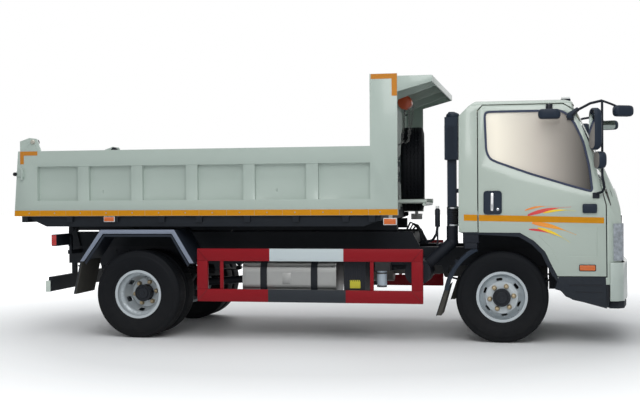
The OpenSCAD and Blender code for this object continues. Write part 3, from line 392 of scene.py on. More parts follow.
def make_finishes():
    """Every plain finish by name: colour, roughness and how its skin looks."""
    made = {}

    def add(name, *args, **kwargs):
        made[name] = Finish(name, *args, **kwargs).done()

    add("cab_paint", (0.43, 0.50, 0.445), 0.22, coat=0.45, dust_top=0.9, dust_share=0.08, mottle=0.025,
        mottle_scale=0.8)
    add("body_paint", (0.405, 0.48, 0.435), 0.34, coat=0.35, dust_top=1.6, dust_share=0.12, mottle=0.04,
        mottle_scale=1.2,
        depth=0.0002, grain=60.0)
    add("chassis_black", (0.016, 0.019, 0.025), 0.42, dust_share=0.08, mottle=0.3, mottle_scale=5.0)
    add("under_black", (0.013, 0.016, 0.021), 0.5, dust_share=0.08, mottle=0.3, mottle_scale=5.0)
    add("fender_paint", (0.022, 0.028, 0.04), 0.4, dust_share=0.1, mottle=0.2, mottle_scale=4.0)
    add("fender_lip", (0.20, 0.235, 0.31), 0.3, dust_share=0.2, coat=0.3)
    add("spring_steel", (0.02, 0.022, 0.026), 0.55, dust_share=0.45, mottle=0.3, mottle_scale=9.0)
    add("cast_iron", (0.075, 0.078, 0.082), 0.7, metal=0.3, dust_share=0.4, mottle=0.3, mottle_scale=7.0,
        grain=120.0,
        depth=0.0005)
    add("black_plastic", (0.014, 0.017, 0.024), 0.5, dust_share=0.2, mottle=0.12, grain=420.0, depth=0.00018)
    add("blue_plastic", (0.018, 0.027, 0.043), 0.42, dust_share=0.1, mottle=0.08, grain=420.0, depth=0.0001)
    add("step_plastic", (0.018, 0.023, 0.031), 0.62, dust_top=0.9, dust_share=0.10, mottle=0.15, grain=300.0,
        depth=0.0003)
    add("window_rubber", (0.045, 0.055, 0.095), 0.45, dust_share=0.05, mottle=0.1)
    add("black_rubber", (0.018, 0.019, 0.021), 0.75, dust_share=0.3, mottle=0.2)
    add("mudflap", (0.040, 0.040, 0.036), 0.65, dust_top=1.1, dust_share=0.45, mottle=0.35, mottle_scale=6.0)
    add("rim_paint", (0.48, 0.53, 0.56), 0.35, metal=0.25, dust_share=0.25, mottle=0.1, mottle_scale=6.0,
        coat=0.2)
    add("brass", (0.42, 0.34, 0.22), 0.38, metal=0.8, dust_share=0.3, mottle=0.2, mottle_scale=40.0)
    add("bright_steel", (0.55, 0.57, 0.60), 0.25, metal=1.0, dust_share=0.1, mottle=0.1, mottle_scale=20.0)
    add("chrome", (0.80, 0.81, 0.83), 0.08, metal=1.0, dust_share=0.02, mottle=0.02)
    add("zinc", (0.42, 0.41, 0.36), 0.42, metal=0.85, dust_share=0.2, mottle=0.2, mottle_scale=30.0)
    add("filter_paint", (0.60, 0.72, 0.82), 0.3, dust_share=0.1, coat=0.4)
    add("label_yellow", (0.60, 0.56, 0.03), 0.5, dust_share=0.1)
    add("plate_white", (0.75, 0.76, 0.75), 0.4, dust_share=0.1)
    add("exhaust", (0.16, 0.15, 0.14), 0.5, metal=0.7, dust_share=0.3, mottle=0.3, mottle_scale=8.0)
    add("orange_lens", (0.62, 0.12, 0.004), 0.16, dust_share=0.02, mottle=0.15, mottle_scale=40.0, coat=0.6)
    add("red_lens", (0.50, 0.012, 0.01), 0.16, dust_share=0.02, mottle=0.15, mottle_scale=40.0, coat=0.6)
    add("clear_lens", (0.40, 0.44, 0.48), 0.08, metal=0.4, dust_share=0.0, mottle=0.75, mottle_scale=26.0,
        coat=1.0)
    add("hoist_orange", (0.62, 0.10, 0.035), 0.35, dust_share=0.1, coat=0.3, mottle=0.1, mottle_scale=12.0)
    add("chain_steel", (0.20, 0.20, 0.20), 0.42, metal=0.8, dust_share=0.2, mottle=0.3, mottle_scale=60.0)
    add("carrier_paint", (0.60, 0.68, 0.62), 0.35, coat=0.3, dust_share=0.1)
    add("bumper_plastic", (0.45, 0.52, 0.48), 0.28, coat=0.6, dust_top=0.8, dust_share=0.2, mottle=0.03,
        mottle_scale=0.8)
    add("inner_trim", (0.20, 0.19, 0.185), 0.6, dust_share=0.0, mottle=0.06, grain=500.0, depth=0.0002)
    add("mirror_silver", (0.86, 0.88, 0.90), 0.03, metal=1.0, dust_share=0.0, mottle=0.01)
    add("rod_chrome", (0.72, 0.73, 0.75), 0.12, metal=1.0, dust_share=0.05)
    made["tyre_rubber"] = tyre_finish()
    made["tank_metal"] = tank_finish()
    made["guard_red"] = guard_finish()
    made["amber_tape"] = tape_finish("amber_tape", (0.60, 0.245, 0.002))
    made["corner_tape"] = tape_finish("corner_tape", (0.52, 0.20, 0.022))
    made["seam_red"] = Finish("seam_red", (0.07, 0.006, 0.01), 0.5).done()
    made["seat_fabric"] = seat_finish()
    made["side_glass"] = painted_side_glass_finish()
    made["screen_glass"] = screen_glass_finish()
    made["decal_red"] = streak_finish("decal_red", (0.62, 0.02, 0.05), (0.85, 0.10, 0.03))
    made["decal_orange"] = streak_finish("decal_orange", (0.86, 0.22, 0.03), (0.92, 0.42, 0.02))
    made["decal_yellow"] = streak_finish("decal_yellow", (0.92, 0.42, 0.02), (0.90, 0.78, 0.02))
    return made


def tyre_finish():
    """Black rubber with a fine grain and a little dust, more of it low down."""
    finish = Finish("tyre_rubber", (0.0045, 0.0055, 0.0075), 0.62, dust_top=0.8, dust_share=0.05,
                    mottle=0.25,
                    mottle_scale=6.0, grain=260.0, depth=0.0003, Specular_IOR_Level=0.12)
    return finish.done()


def tank_finish():
    """Brushed aluminium: fine lines round the barrel."""
    finish = Finish("tank_metal", (0.34, 0.345, 0.34), 0.36, metal=1.0, dust_top=0.7, dust_share=0.12,
                    mottle=0.08,
                    mottle_scale=3.0, spread=0.16)
    stretched = node(finish.tree, "ShaderNodeMapping", [("Vector", finish.place)],
                     values={"Scale": (900.0, 6.0, 6.0)})
    lines = node(finish.tree, "ShaderNodeTexNoise", [("Vector", stretched.outputs[0])],
                 values={"Scale": 1.0, "Detail": 3.0})
    finish.raise_skin(lines.outputs["Fac"], 0.00008)
    return finish.done()


def guard_finish():
    """Dark red gloss paint, with a white stretch in the middle of the long bars; on the lower bar that white
    stretch is painted dark grey as shade.
    """
    finish = Finish("guard_red", (0.25, 0.007, 0.013), 0.35, dust_top=0.6, dust_share=0.05, mottle=0.08,
                    mottle_scale=3.0,
                    coat=0.0, Specular_IOR_Level=0.15)
    low, high = edges("guard_rails_right")
    waist = place(0, 0, (low.z + high.z) / 2).z
    top = finish.times(finish.band("X", place(1329, 0, 0).x, place(2050, 0, 0).x),
                       finish.band("Z", waist, high.z * MM + 0.1))
    # The lower bar's white stretch lies in shade, so it gets painted shade: dark grey
    lower_white_in_shade = finish.times(finish.band("X", place(1313, 0, 0).x, place(2071, 0, 0).x),
                          finish.band("Z", 0.0, waist))
    finish.paint(top, (0.54, 0.61, 0.63))
    # Painted shade on the lower bar's white stretch
    finish.paint(lower_white_in_shade, (0.028, 0.033, 0.040))
    return finish.done()


def tape_finish(name, colour):
    """Amber reflecting tape: a honeycomb of small cells under a clear skin, in joined lengths."""
    finish = Finish(name, colour, 0.26, dust_share=0.03, mottle=0.07, mottle_scale=5.0, coat=0.1,
                    Specular_IOR_Level=0.2)
    cells = node(finish.tree, "ShaderNodeTexVoronoi", [("Vector", finish.place)],
                 values={"Scale": 260.0, "Randomness": 0.15})
    ramp = node(finish.tree, "ShaderNodeMapRange", [("Value", cells.outputs["Distance"])],
                values={"From Max": 0.6, "To Min": 0.88, "To Max": 1.1})
    finish.colour = blend_colour(finish.tree, 0.35, finish.colour, ramp.outputs[0], "MULTIPLY")
    return finish.done()


def streak_finish(name, front, back):
    """A printed streak whose colour runs from one hue to another along the truck."""
    finish = Finish(name, front, 0.25, dust_share=0.0, coat=0.7, mottle=0.02)
    run = node(finish.tree, "ShaderNodeMapRange", [("Value", finish.axis("X"))],
               values={"From Min": place(3700, 0, 0).x, "From Max": place(4180, 0, 0).x})
    finish.paint(run.outputs[0], back)
    return finish.done()


def seat_finish():
    """Woven seat cloth."""
    finish = Finish("seat_fabric", (0.10, 0.10, 0.115), 0.9, dust_share=0.0, mottle=0.1, mottle_scale=10.0,
                    Sheen_Weight=0.3)
    threads = []
    for letter in "XYZ":
        scaled = node(finish.tree, "ShaderNodeMath", [(0, finish.axis(letter))], operation="MULTIPLY",
                      values={1: 1800.0})
        threads.append(node(finish.tree, "ShaderNodeMath", [(0, scaled.outputs[0])],
                            operation="SINE").outputs[0])
    weave = node(finish.tree, "ShaderNodeMath", [(0, finish.times(threads[0], threads[2])), (1, threads[1])],
                 operation="ADD")
    finish.raise_skin(weave.outputs[0], 0.0004)
    return finish.done()


def painted_side_glass_finish():
    """Side pane with painted reflection and shade: pale at the rear, darkening towards the windscreen, and
    glowing faintly in that colour.
    """
    finish = Finish("side_glass", (0.8, 0.77, 0.67), 0.06, dust_share=0.0, mottle=0.02, depth=0.00001,
                    spread=0.02)
    finish.shader.inputs["Transmission Weight"].default_value = 0.3
    run = node(finish.tree, "ShaderNodeMapRange", [("Value", finish.axis("X"))],
               values={"From Min": place(3480, 0, 0).x, "From Max": place(4330, 0, 0).x})
    # Painted reflection and shade: pale glare at the rear, a middle tone, then dark shade towards the
    # windscreen
    painted_reflection = node(finish.tree, "ShaderNodeValToRGB", [("Fac", run.outputs[0])])
    painted_reflection.color_ramp.elements[0].color = (0.86, 0.82, 0.72, 1)
    painted_reflection.color_ramp.elements[1].color = (0.022, 0.019, 0.016, 1)
    centre = painted_reflection.color_ramp.elements.new(0.48)
    centre.color = (0.52, 0.48, 0.43, 1)
    finish.colour = painted_reflection.outputs["Color"]
    # The painted colour also glows a little, so the pane looks lit though it is no lamp
    finish.tree.links.new(finish.colour, finish.shader.inputs["Emission Color"])
    finish.shader.inputs["Emission Strength"].default_value = 0.22
    return finish.done()


def screen_glass_finish():
    """Clear, slightly green pane of the windscreen and the rear window."""
    finish = Finish("screen_glass", (0.78, 0.86, 0.83), 0.04, dust_share=0.0, mottle=0.02, depth=0.00001,
                    spread=0.02)
    finish.shader.inputs["Transmission Weight"].default_value = 1.0
    finish.shader.inputs["IOR"].default_value = 1.2
    return finish.done()


# ---------------------------------------------------------------- making pieces

FINISH = make_finishes()


class Form:
    """Gathers the faces of one piece, in millimetres from the rear axle, middle plane and ground."""

    def __init__(self):
        self.bm = bmesh.new()

    def add_loops(self, loops, closed=True, cap=True):
        """Skins rings of points. Each ring has as many points as the first."""
        rows = [[self.bm.verts.new(p) for p in ring] for ring in loops]
        count = len(rows[0])
        for a, b in zip(rows, rows[1:]):
            for i in range(count if closed else count - 1):
                j = (i + 1) % count
                self.bm.faces.new((a[i], a[j], b[j], b[i]))
        if cap:
            self.bm.faces.new(rows[0][::-1])
            self.bm.faces.new(rows[-1])
        return self

    def box(self, x, y, z):
        """x, y and z are (low, high)."""
        return self.plate([(x[0], z[0]), (x[1], z[0]), (x[1], z[1]), (x[0], z[1])], *y)

    def plate(self, outline, y0, y1):
        """An outline in x and z, thick from y0 to y1."""
        return self.add_loops([[(x, y, z) for x, z in outline] for y in (y0, y1)])

    def slab(self, outline, z0, z1):
        """An outline in x and y, thick from z0 to z1."""
        return self.add_loops([[(x, y, z) for x, y in outline] for z in (z0, z1)])

    def section(self, outline, x0, x1):
        """An outline in y and z, long from x0 to x1."""
        return self.add_loops([[(x, y, z) for y, z in outline] for x in (x0, x1)])

    def rod(self, points, d, sides=12):
        """A round rod, tube or hose along points."""
        points = [Vector(p) for p in points]
        rings = []
        for i, p in enumerate(points):
            ahead = points[min(i + 1, len(points) - 1)] - points[max(i - 1, 0)]
            turn = ahead.to_track_quat("Z", "X")
            rings.append([p + turn @ Vector((math.cos(a), math.sin(a), 0)) * d / 2
                          for a in (2 * math.pi * k / sides for k in range(sides))])
        return self.add_loops(rings)

    def turned(self, origin, axis, profile, sides=32, cap=True):
        """A turned shape: profile is (distance along the axis, radius)."""
        turn = Vector(axis).to_track_quat("Z", "X")
        rings = [[Vector(origin) + turn @ Vector((r * math.cos(a), r * math.sin(a), along))
                  for a in (2 * math.pi * k / sides for k in range(sides))] for along, r in profile]
        return self.add_loops(rings, cap=cap)


def bevel_edges(bm, width, segments, angle=35.0):
    sharp = [e for e in bm.edges if len(e.link_faces) == 2 and e.calc_face_angle(0) > math.radians(angle)]
    if sharp:
        bmesh.ops.bevel(bm, geom=sharp, offset=width, segments=segments, profile=0.5, affect="EDGES",
                        clamp_overlap=True)


def install(mesh, name, body, materials, smooth=40.0):
    """Puts a finished mesh in the scene, riding its body. smooth is the sharpest angle shaded round."""
    for material in materials:
        mesh.materials.append(FINISH[material])
    mesh.shade_smooth()
    mesh.set_sharp_from_angle(angle=math.radians(smooth))
    piece = bpy.data.objects.new(name, mesh)
    bpy.context.scene.collection.objects.link(piece)
    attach(piece, body)
    return piece


def piece(form, name, body, slot, material, bevel=0.0, segments=2, smooth=40.0, replaces=()):
    """Turns a form into a finished piece."""
    bm = form.bm
    bmesh.ops.remove_doubles(bm, verts=bm.verts, dist=0.01)
    bmesh.ops.recalc_face_normals(bm, faces=bm.faces)
    if bevel:
        bevel_edges(bm, bevel, segments)
    bm.transform(Matrix.Translation((REAR_X, 0, 0)) @ Matrix.Scale(MM, 4))
    mesh = bpy.data.meshes.new(name)
    bm.to_mesh(mesh)
    bm.free()
    made = install(mesh, name, body, [material], smooth)
    if replaces:
        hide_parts(*replaces)
    return made


def bevelled_copy(source, name, material, bevel, segments=2, angle=35.0, smooth=40.0):
    """A copy of a frame node with its edges rounded, shown in its place."""
    cad = frame["nodes"][source]
    bm = bmesh.new()
    bm.from_mesh(cad.data)
    bmesh.ops.remove_doubles(bm, verts=bm.verts, dist=0.00002)
    bmesh.ops.dissolve_limit(bm, angle_limit=math.radians(0.6), verts=bm.verts, edges=bm.edges)
    if bevel:
        bevel_edges(bm, bevel * MM, segments, angle)
    mesh = bpy.data.meshes.new(name)
    bm.to_mesh(mesh)
    bm.free()
    made = install(mesh, name, cad["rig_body"], [material], smooth)
    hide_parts(source)
    return made


def dress(source, material):
    """Gives a frame node that stays in view its finish."""
    cad = frame["nodes"][source]
    cad.data.materials.clear()
    cad.data.materials.append(FINISH[material])


def arc(cx, cz, r, a0, a1, n):
    """Points of an arc in the side view, angles in degrees."""
    return [(cx + r * math.cos(math.radians(a0 + (a1 - a0) * i / n)),
             cz + r * math.sin(math.radians(a0 + (a1 - a0) * i / n))) for i in range(n + 1)]


def inset_outline(points, d):
    """A closed outline moved outwards by d (inwards if d is below 0)."""
    area = sum(a[0] * b[1] - b[0] * a[1] for a, b in zip(points, points[1:] + points[:1]))
    side = 1 if area > 0 else -1
    moved = []
    for i, p in enumerate(points):
        before, after = points[i - 1], points[(i + 1) % len(points)]
        u = Vector((p[0] - before[0], p[1] - before[1])).normalized()
        v = Vector((after[0] - p[0], after[1] - p[1])).normalized()
        nu, nv = Vector((u.y, -u.x)) * side, Vector((v.y, -v.x)) * side
        reach = (nu + nv) / max(0.3, 1 + nu.dot(nv))
        moved.append((p[0] + reach.x * d, p[1] + reach.y * d))
    return moved


def rounded(points, r, n=4):
    """A closed outline with each corner replaced by a curve that starts r before it."""
    out = []
    for i, p in enumerate(points):
        p = Vector(p)
        before, after = Vector(points[i - 1]), Vector(points[(i + 1) % len(points)])
        a = p + (before - p).normalized() * min(r, (before - p).length * 0.45)
        b = p + (after - p).normalized() * min(r, (after - p).length * 0.45)
        for k in range(n + 1):
            t = k / n
            q = a * (1 - t) ** 2 + p * 2 * t * (1 - t) + b * t * t
            out.append((q.x, q.y))
    return out


# ---------------------------------------------------------------- wheels

# The tread's steps round the wheel, and its grooves on each side of the middle
TREAD_SEGMENTS = 120
GROOVES = (18, 54)
GROOVE_HALF, GROOVE_DEPTH, ZIGZAG = 4.5, 10.0, 6.0


def tyre_profile():
    """Half section from the bead to the tread's middle: (across, radius, follows the zigzag)."""
    wall = [(80, 223.5), (87, 229), (95, 238), (100, 250), (104, 262), (104.5, 268), (107, 270), (112, 292),
            (116.5, 325), (117.5, 345), (116, 366), (115.6, 371), (113.2, 374), (110, 390), (106, 404),
            (105, 409), (102, 411.5), (99, 419), (94, 424.5)]
    tread = [(88, 427)]
    for groove in sorted(GROOVES, reverse=True):
        tread += [(groove + GROOVE_HALF, 427.5), (groove + GROOVE_HALF - 1.5, 427.5 - GROOVE_DEPTH),
                  (groove - GROOVE_HALF + 1.5, 427.5 - GROOVE_DEPTH), (groove - GROOVE_HALF, 427.5)]
    return [(a, r, False) for a, r in wall] + [(a, r, i > 0) for i, (a, r) in enumerate(tread)]


def tyre(form, origin, axis):
    """A ribbed tyre with zigzag grooves about an axis."""
    half = tyre_profile()
    whole = [(-a, r, z) for a, r, z in half] + [(a, r, z) for a, r, z in reversed(half)]
    turn = Vector(axis).to_track_quat("Z", "X")
    rings = []
    for k in range(TREAD_SEGMENTS):
        angle = 2 * math.pi * k / TREAD_SEGMENTS
        sway = ZIGZAG if k % 2 else -ZIGZAG
        ring = []
        for a, r, zigzags in whole:
            notch = 2.5 if k % 2 and 414 < r < 426 else 0
            shift = sway if zigzags else 0
            ring.append(Vector(origin) + turn @ Vector(((r - notch) * math.cos(angle),
                                                        (r - notch) * math.sin(angle),
                                                        a + shift)))
        rings.append(ring)
    rings.append(rings[0])
    form.add_loops(rings, closed=True, cap=False)
    return form


# Wheel nuts: their circle, number and the first one's angle
NUT_CIRCLE_R = 111
NUTS = 6
NUT_TURN = math.radians(8)


def wheel_nut(form, origin, axis, angle, face):
    """One nut with its washer and stud, standing on the disc's face."""
    on_circle = Vector((math.cos(angle), 0, -axis.y * math.sin(angle))) * NUT_CIRCLE_R
    spot = Vector(origin) + on_circle + axis * face
    form.turned(spot, axis, [(0, 24), (4, 24), (8, 20)], 16)
    form.turned(spot, axis, [(6, 21.5), (24, 21.5), (31, 17)], 6)
    form.turned(spot, axis, [(30, 10), (36, 10), (37, 8)], 10)


def hub_cap(form, origin, axis, face, r, height):
    """A turned cap with a raised middle and a ring of small bolts."""
    form.turned(Vector(origin) + Vector(axis) * face, axis,
                [(0, r), (height, r), (height + 3, r - 3), (height + 3, r * 0.72), (height + 12, r * 0.66),
                 (height + 15, r * 0.6), (height + 15, r * 0.3), (height + 19, r * 0.26),
                 (height + 19, 0.5)], 40)
    turn = Vector(axis).to_track_quat("Z", "X")
    for k in range(8):
        angle = math.pi * k / 4
        spot = Vector(origin) + Vector(axis) * (face + height + 2) + turn @ Vector(
            (r * 0.85 * math.cos(angle), r * 0.85 * math.sin(angle), 0))
        form.turned(spot, axis, [(0, 7), (7, 7), (8, 5)], 6)


# Face of the wheel's disc, out from the middle of the front wheel and of the rear pair
DISC_FACE, REAR_DISC_FACE = 135, 12
HUB_CAP_R, FRONT_CAP_HEIGHT, REAR_CAP_HEIGHT = 83, 41, 90
TWIN_OFFSET = 135
SPARE_TURN = 6


def nuts_on(origin, axis, face):
    nuts = Form()
    for k in range(NUTS):
        wheel_nut(nuts, origin, axis, NUT_TURN + 2 * math.pi * k / NUTS, face)
    return nuts


def front_wheel(side, label):
    """Tyre, rim, nuts, hub cap and valve of one front wheel."""
    out = Vector((0, side, 0))
    hub = Vector((WHEELBASE, middle(f"front_tyre_{label}").y / MM, TYRE_R))
    body = f"front_wheel_{label}"
    piece(tyre(Form(), hub, out), f"front_tread_{label}", body, "tyre_rubber", "tyre_rubber", smooth=32,
          replaces=[f"front_tyre_{label}"])
    bevelled_copy(f"front_rim_{label}", f"front_wheel_rim_{label}", "rim_paint", 0, smooth=35)
    piece(nuts_on(hub, out, DISC_FACE), f"front_nuts_{label}", body, "rim_silver", "brass")
    cap = Form()
    hub_cap(cap, hub, out, DISC_FACE, HUB_CAP_R, FRONT_CAP_HEIGHT)
    piece(cap, f"front_hub_cap_{label}", body, "chassis_black", "chassis_black", smooth=30)
    valve = Form().rod([hub + out * 60 + Vector((150, 0, -120)), hub + out * 112 + Vector((156, 0, -132))],
                       9)
    piece(valve, f"front_valve_{label}", body, "chassis_black", "bright_steel")


def rear_wheels(side, label):
    """The twin tyres, rims, nuts and hub cap of one rear side."""
    out = Vector((0, side, 0))
    body = f"rear_wheels_{label}"
    low, high = edges(f"rear_tyres_{label}")
    hub = Vector((0, (low.y + high.y) / 2, TYRE_R))
    tyres = Form()
    for step in (-1, 1):
        tyre(tyres, hub + out * step * TWIN_OFFSET, out)
    piece(tyres, f"rear_treads_{label}", body, "tyre_rubber", "tyre_rubber", smooth=32,
          replaces=[f"rear_tyres_{label}"])
    bevelled_copy(f"rear_rims_{label}", f"rear_wheel_rims_{label}", "rim_paint", 0, smooth=35)
    piece(nuts_on(hub, out, REAR_DISC_FACE), f"rear_nuts_{label}", body, "rim_silver", "brass")
    cap = Form()
    hub_cap(cap, hub, out, REAR_DISC_FACE, HUB_CAP_R, REAR_CAP_HEIGHT)
    piece(cap, f"rear_hub_cap_{label}", body, "chassis_black", "chassis_black", smooth=30)


def spare_wheel():
    """The spare hangs behind the headboard, turned a little about its upright."""
    low, high = edges("spare_tyre")
    turn = math.radians(SPARE_TURN)
    axis = Vector((math.cos(turn), math.sin(turn), 0))
    piece(tyre(Form(), (low + high) / 2, axis), "spare_tread", "dump_body", "tyre_rubber", "tyre_rubber",
          smooth=32,
          replaces=["spare_tyre"])
    bevelled_copy("spare_rim", "spare_wheel_rim", "rim_paint", 0, smooth=35)


def make_wheels():
    for side, label in SIDES:
        front_wheel(side, label)
        rear_wheels(side, label)
    spare_wheel()


# ---------------------------------------------------------------- repeated small things

def tree_with(name, inputs):
    """A Geometry Nodes tree with named inputs, given as (name, kind, value)."""
    tree = bpy.data.node_groups.new(name, "GeometryNodeTree")
    for label, kind, value in inputs:
        socket = tree.interface.new_socket(label, in_out="INPUT", socket_type="NodeSocket" + kind)
        if value is not None:
            socket.default_value = value
    tree.interface.new_socket("Geometry", in_out="OUTPUT", socket_type="NodeSocketGeometry")
    return tree, tree.nodes.new("NodeGroupInput").outputs


def finish_tree(tree, start, instances):
    """Ends a tree: instances made real, with their material."""
    real = node(tree, "GeometryNodeRealizeInstances", [(0, instances)])
    coated = node(tree, "GeometryNodeSetMaterial", [("Geometry", real.outputs[0]),
                                                    ("Material", start["Material"])])
    end = tree.nodes.new("NodeGroupOutput")
    tree.links.new(coated.outputs[0], end.inputs[0])
    return tree


def heads_tree():
    """A straight row of heads: rivets with many sides, bolts with six."""
    tree, start = tree_with("row_of_heads", [
        ("Count", "Int", 2), ("First", "Vector", None), ("Step", "Vector", None), ("Facing", "Vector", None),
        ("Sides", "Int", 12), ("Radius", "Float", 0.008), ("Top Radius", "Float", 0.005),
        ("Height", "Float", 0.003), ("Material", "Material", None)])
    line = node(tree, "GeometryNodeMeshLine", [("Count", start["Count"]), ("Start Location", start["First"]),
                                               ("Offset", start["Step"])])
    head = node(tree, "GeometryNodeMeshCone", [("Vertices", start["Sides"]),
                                               ("Radius Bottom", start["Radius"]),
                                               ("Radius Top", start["Top Radius"]),
                                               ("Depth", start["Height"])])
    facing = node(tree, "FunctionNodeAlignRotationToVector", [("Vector", start["Facing"])])
    heads = node(tree, "GeometryNodeInstanceOnPoints", [("Points", line.outputs[0]),
                                                        ("Instance", head.outputs[0]),
                                                        ("Rotation", facing.outputs[0])])
    return finish_tree(tree, start, heads.outputs[0])


def slats_tree():
    """A row of equal bars."""
    tree, start = tree_with("row_of_slats", [
        ("Count", "Int", 2), ("First", "Vector", None), ("Step", "Vector", None), ("Size", "Vector", None),
        ("Material", "Material", None)])
    line = node(tree, "GeometryNodeMeshLine", [("Count", start["Count"]), ("Start Location", start["First"]),
                                               ("Offset", start["Step"])])
    bar = node(tree, "GeometryNodeMeshCube", [("Size", start["Size"])])
    bars = node(tree, "GeometryNodeInstanceOnPoints", [("Points", line.outputs[0]),
                                                       ("Instance", bar.outputs[0])])
    return finish_tree(tree, start, bars.outputs[0])


def chain_tree():
    """Oval links along a path, each turned a quarter from the last."""
    tree, start = tree_with("chain_links", [
        ("Path", "Geometry", None), ("Pitch", "Float", 0.02), ("Wire", "Float", 0.0028),
        ("Link Radius", "Float", 0.0135), ("Material", "Material", None)])
    curve = node(tree, "GeometryNodeMeshToCurve", [("Mesh", start["Path"])])
    even = node(tree, "GeometryNodeResampleCurve", [("Curve", curve.outputs[0]), ("Length", start["Pitch"])],
                mode="LENGTH")
    ring = node(tree, "GeometryNodeCurvePrimitiveCircle", [("Radius", start["Link Radius"])],
                values={"Resolution": 10})
    wire = node(tree, "GeometryNodeCurvePrimitiveCircle", [("Radius", start["Wire"])],
                values={"Resolution": 5})
    oval = node(tree, "GeometryNodeTransform", [("Geometry", ring.outputs[0])],
                values={"Scale": (0.62, 1.0, 1.0)})
    link = node(tree, "GeometryNodeCurveToMesh", [("Curve", oval.outputs[0]),
                                                  ("Profile Curve", wire.outputs[0])])
    tangent = tree.nodes.new("GeometryNodeInputTangent")
    along = node(tree, "FunctionNodeAlignRotationToVector", [("Vector", tangent.outputs[0])], axis="Y")
    index = tree.nodes.new("GeometryNodeInputIndex")
    quarter = node(tree, "ShaderNodeMath", [(0, index.outputs[0])], operation="MULTIPLY",
                   values={1: math.pi / 2})
    spin = node(tree, "FunctionNodeAxisAngleToRotation", [("Angle", quarter.outputs[0])],
                values={"Axis": (0, 1, 0)})
    turned = node(tree, "FunctionNodeRotateRotation", [("Rotation", along.outputs[0]),
                                                       ("Rotate By", spin.outputs[0])],
                  rotation_space="LOCAL")
    links = node(tree, "GeometryNodeInstanceOnPoints", [("Points", even.outputs[0]),
                                                        ("Instance", link.outputs[0]),
                                                        ("Rotation", turned.outputs[0])])
    return finish_tree(tree, start, links.outputs[0])


HEADS, SLATS, CHAIN = heads_tree(), slats_tree(), chain_tree()


def grow(form, tree, material, path=None, **values):
    """Runs a tree once and adds what it makes to a form, in the form's own millimetres."""
    mesh = bpy.data.meshes.new("seed")
    if path:
        mesh.from_pydata([place(*p) for p in path], [(i, i + 1) for i in range(len(path) - 1)], [])
    seed = bpy.data.objects.new("seed", mesh)
    bpy.context.scene.collection.objects.link(seed)
    modifier = seed.modifiers.new("grow", "NODES")
    modifier.node_group = tree
    values["Material"] = FINISH[material]
    for item in tree.interface.items_tree:
        key = item.name.replace(" ", "_")
        if item.in_out == "INPUT" and key in values:
            modifier[item.identifier] = values[key]
    graph = bpy.context.evaluated_depsgraph_get()
    made = bpy.data.meshes.new_from_object(seed.evaluated_get(graph), depsgraph=graph)
    seed.modifiers.remove(modifier)
    bpy.data.objects.remove(seed)
    made.transform(Matrix.Scale(1 / MM, 4) @ Matrix.Translation((-REAR_X, 0, 0)))
    made.materials.clear()
    form.bm.from_mesh(made)
    bpy.data.meshes.remove(made)
    return form


def heads(form, first, step, count, radius, height, material, facing=(0, RIGHT, 0), sides=12, top=0.6):
    """A row of rivets or bolts. first and step are in millimetres."""
    return grow(form, HEADS, material, Count=count, First=place(*first), Step=Vector(step) * MM,
                Facing=Vector(facing),
                Sides=sides, Radius=radius * MM, Top_Radius=radius * top * MM, Height=height * MM)


def slats(form, first, step, count, size, material):
    return grow(form, SLATS, material, Count=count, First=place(*first), Step=Vector(step) * MM,
                Size=Vector(size) * MM)


def both_sides(make):
    """Calls make(side, label) for the right and for the left."""
    for side, label in SIDES:
        make(side, label)


# ---------------------------------------------------------------- load body

# The load body's outer ends, half width and heights
REAR_EDGE, BODY_FRONT = -1285, 2577
BODY_HALF = 1100
RAIL_LOW, RAIL_TOP, SIDE_TOP, BOARD_TOP = 1196, 1349, 1845, 2515
REAR_SLANT = 45


def rear_at(z):
    """X of the body's slanting rear edge at a height."""
    return REAR_EDGE + (z - RAIL_LOW) * REAR_SLANT / (SIDE_TOP - RAIL_LOW)


# The long tape's edges, its number of lengths and the rivets along it
TAPE_LOW, TAPE_TOP = 1198, 1253
TAPE_LENGTHS = 14
RIVET_PITCH = 272


def body_tapes(side, label):
    """The long tape on the lower rail, and the corner tapes at the post and the headboard."""
    y = (BODY_HALF - 0.5) * side, (BODY_HALF + 1.5) * side
    tape = Form()
    length = (BODY_FRONT - rear_at(TAPE_LOW)) / TAPE_LENGTHS
    for k in range(TAPE_LENGTHS):
        x0 = max(rear_at(TAPE_TOP), rear_at(TAPE_LOW) + k * length + 1)
        tape.box((x0, rear_at(TAPE_LOW) + (k + 1) * length - 1), y, (TAPE_LOW, TAPE_TOP))
    piece(tape, f"side_tape_{label}", "dump_body", "body_paint", "amber_tape")
    corner = Form()
    corner.box((2330, BODY_FRONT - 1), y, (2467, BOARD_TOP - 1)).box((2526, BODY_FRONT - 1), y, (2307, 2467))
    corner.box((-1217, -1031), y, (1802, 1843)).box((-1217, -1178), y, (1716, 1802))
    piece(corner, f"corner_tape_{label}", "dump_body", "body_paint", "corner_tape")
    rivets = Form()
    heads(rivets, (REAR_EDGE + 160, y[1], 1226), (RIVET_PITCH, 0, 0), 14, 7, 4, "zinc", (0, side, 0))
    piece(rivets, f"tape_rivets_{label}", "dump_body", "body_paint", "zinc")


HOOK_X = (-358, 526, 1408)


def rope_hooks(side, label):
    """Small gusset hooks for the sheet's rope, welded on the lower rail."""
    hooks = Form()
    for x in HOOK_X:
        hooks.plate([(x - 26, RAIL_TOP), (x + 26, RAIL_TOP), (x + 14, RAIL_TOP + 116),
                     (x - 14, RAIL_TOP + 116)],
                    1000 * side, 1012 * side)
        hooks.rod([(x, 1010 * side, RAIL_TOP + 70), (x, 1046 * side, RAIL_TOP + 78),
                   (x, 1052 * side, RAIL_TOP + 104)],
                  11)
    piece(hooks, f"rope_hooks_{label}", "dump_body", "body_paint", "body_paint", bevel=2)


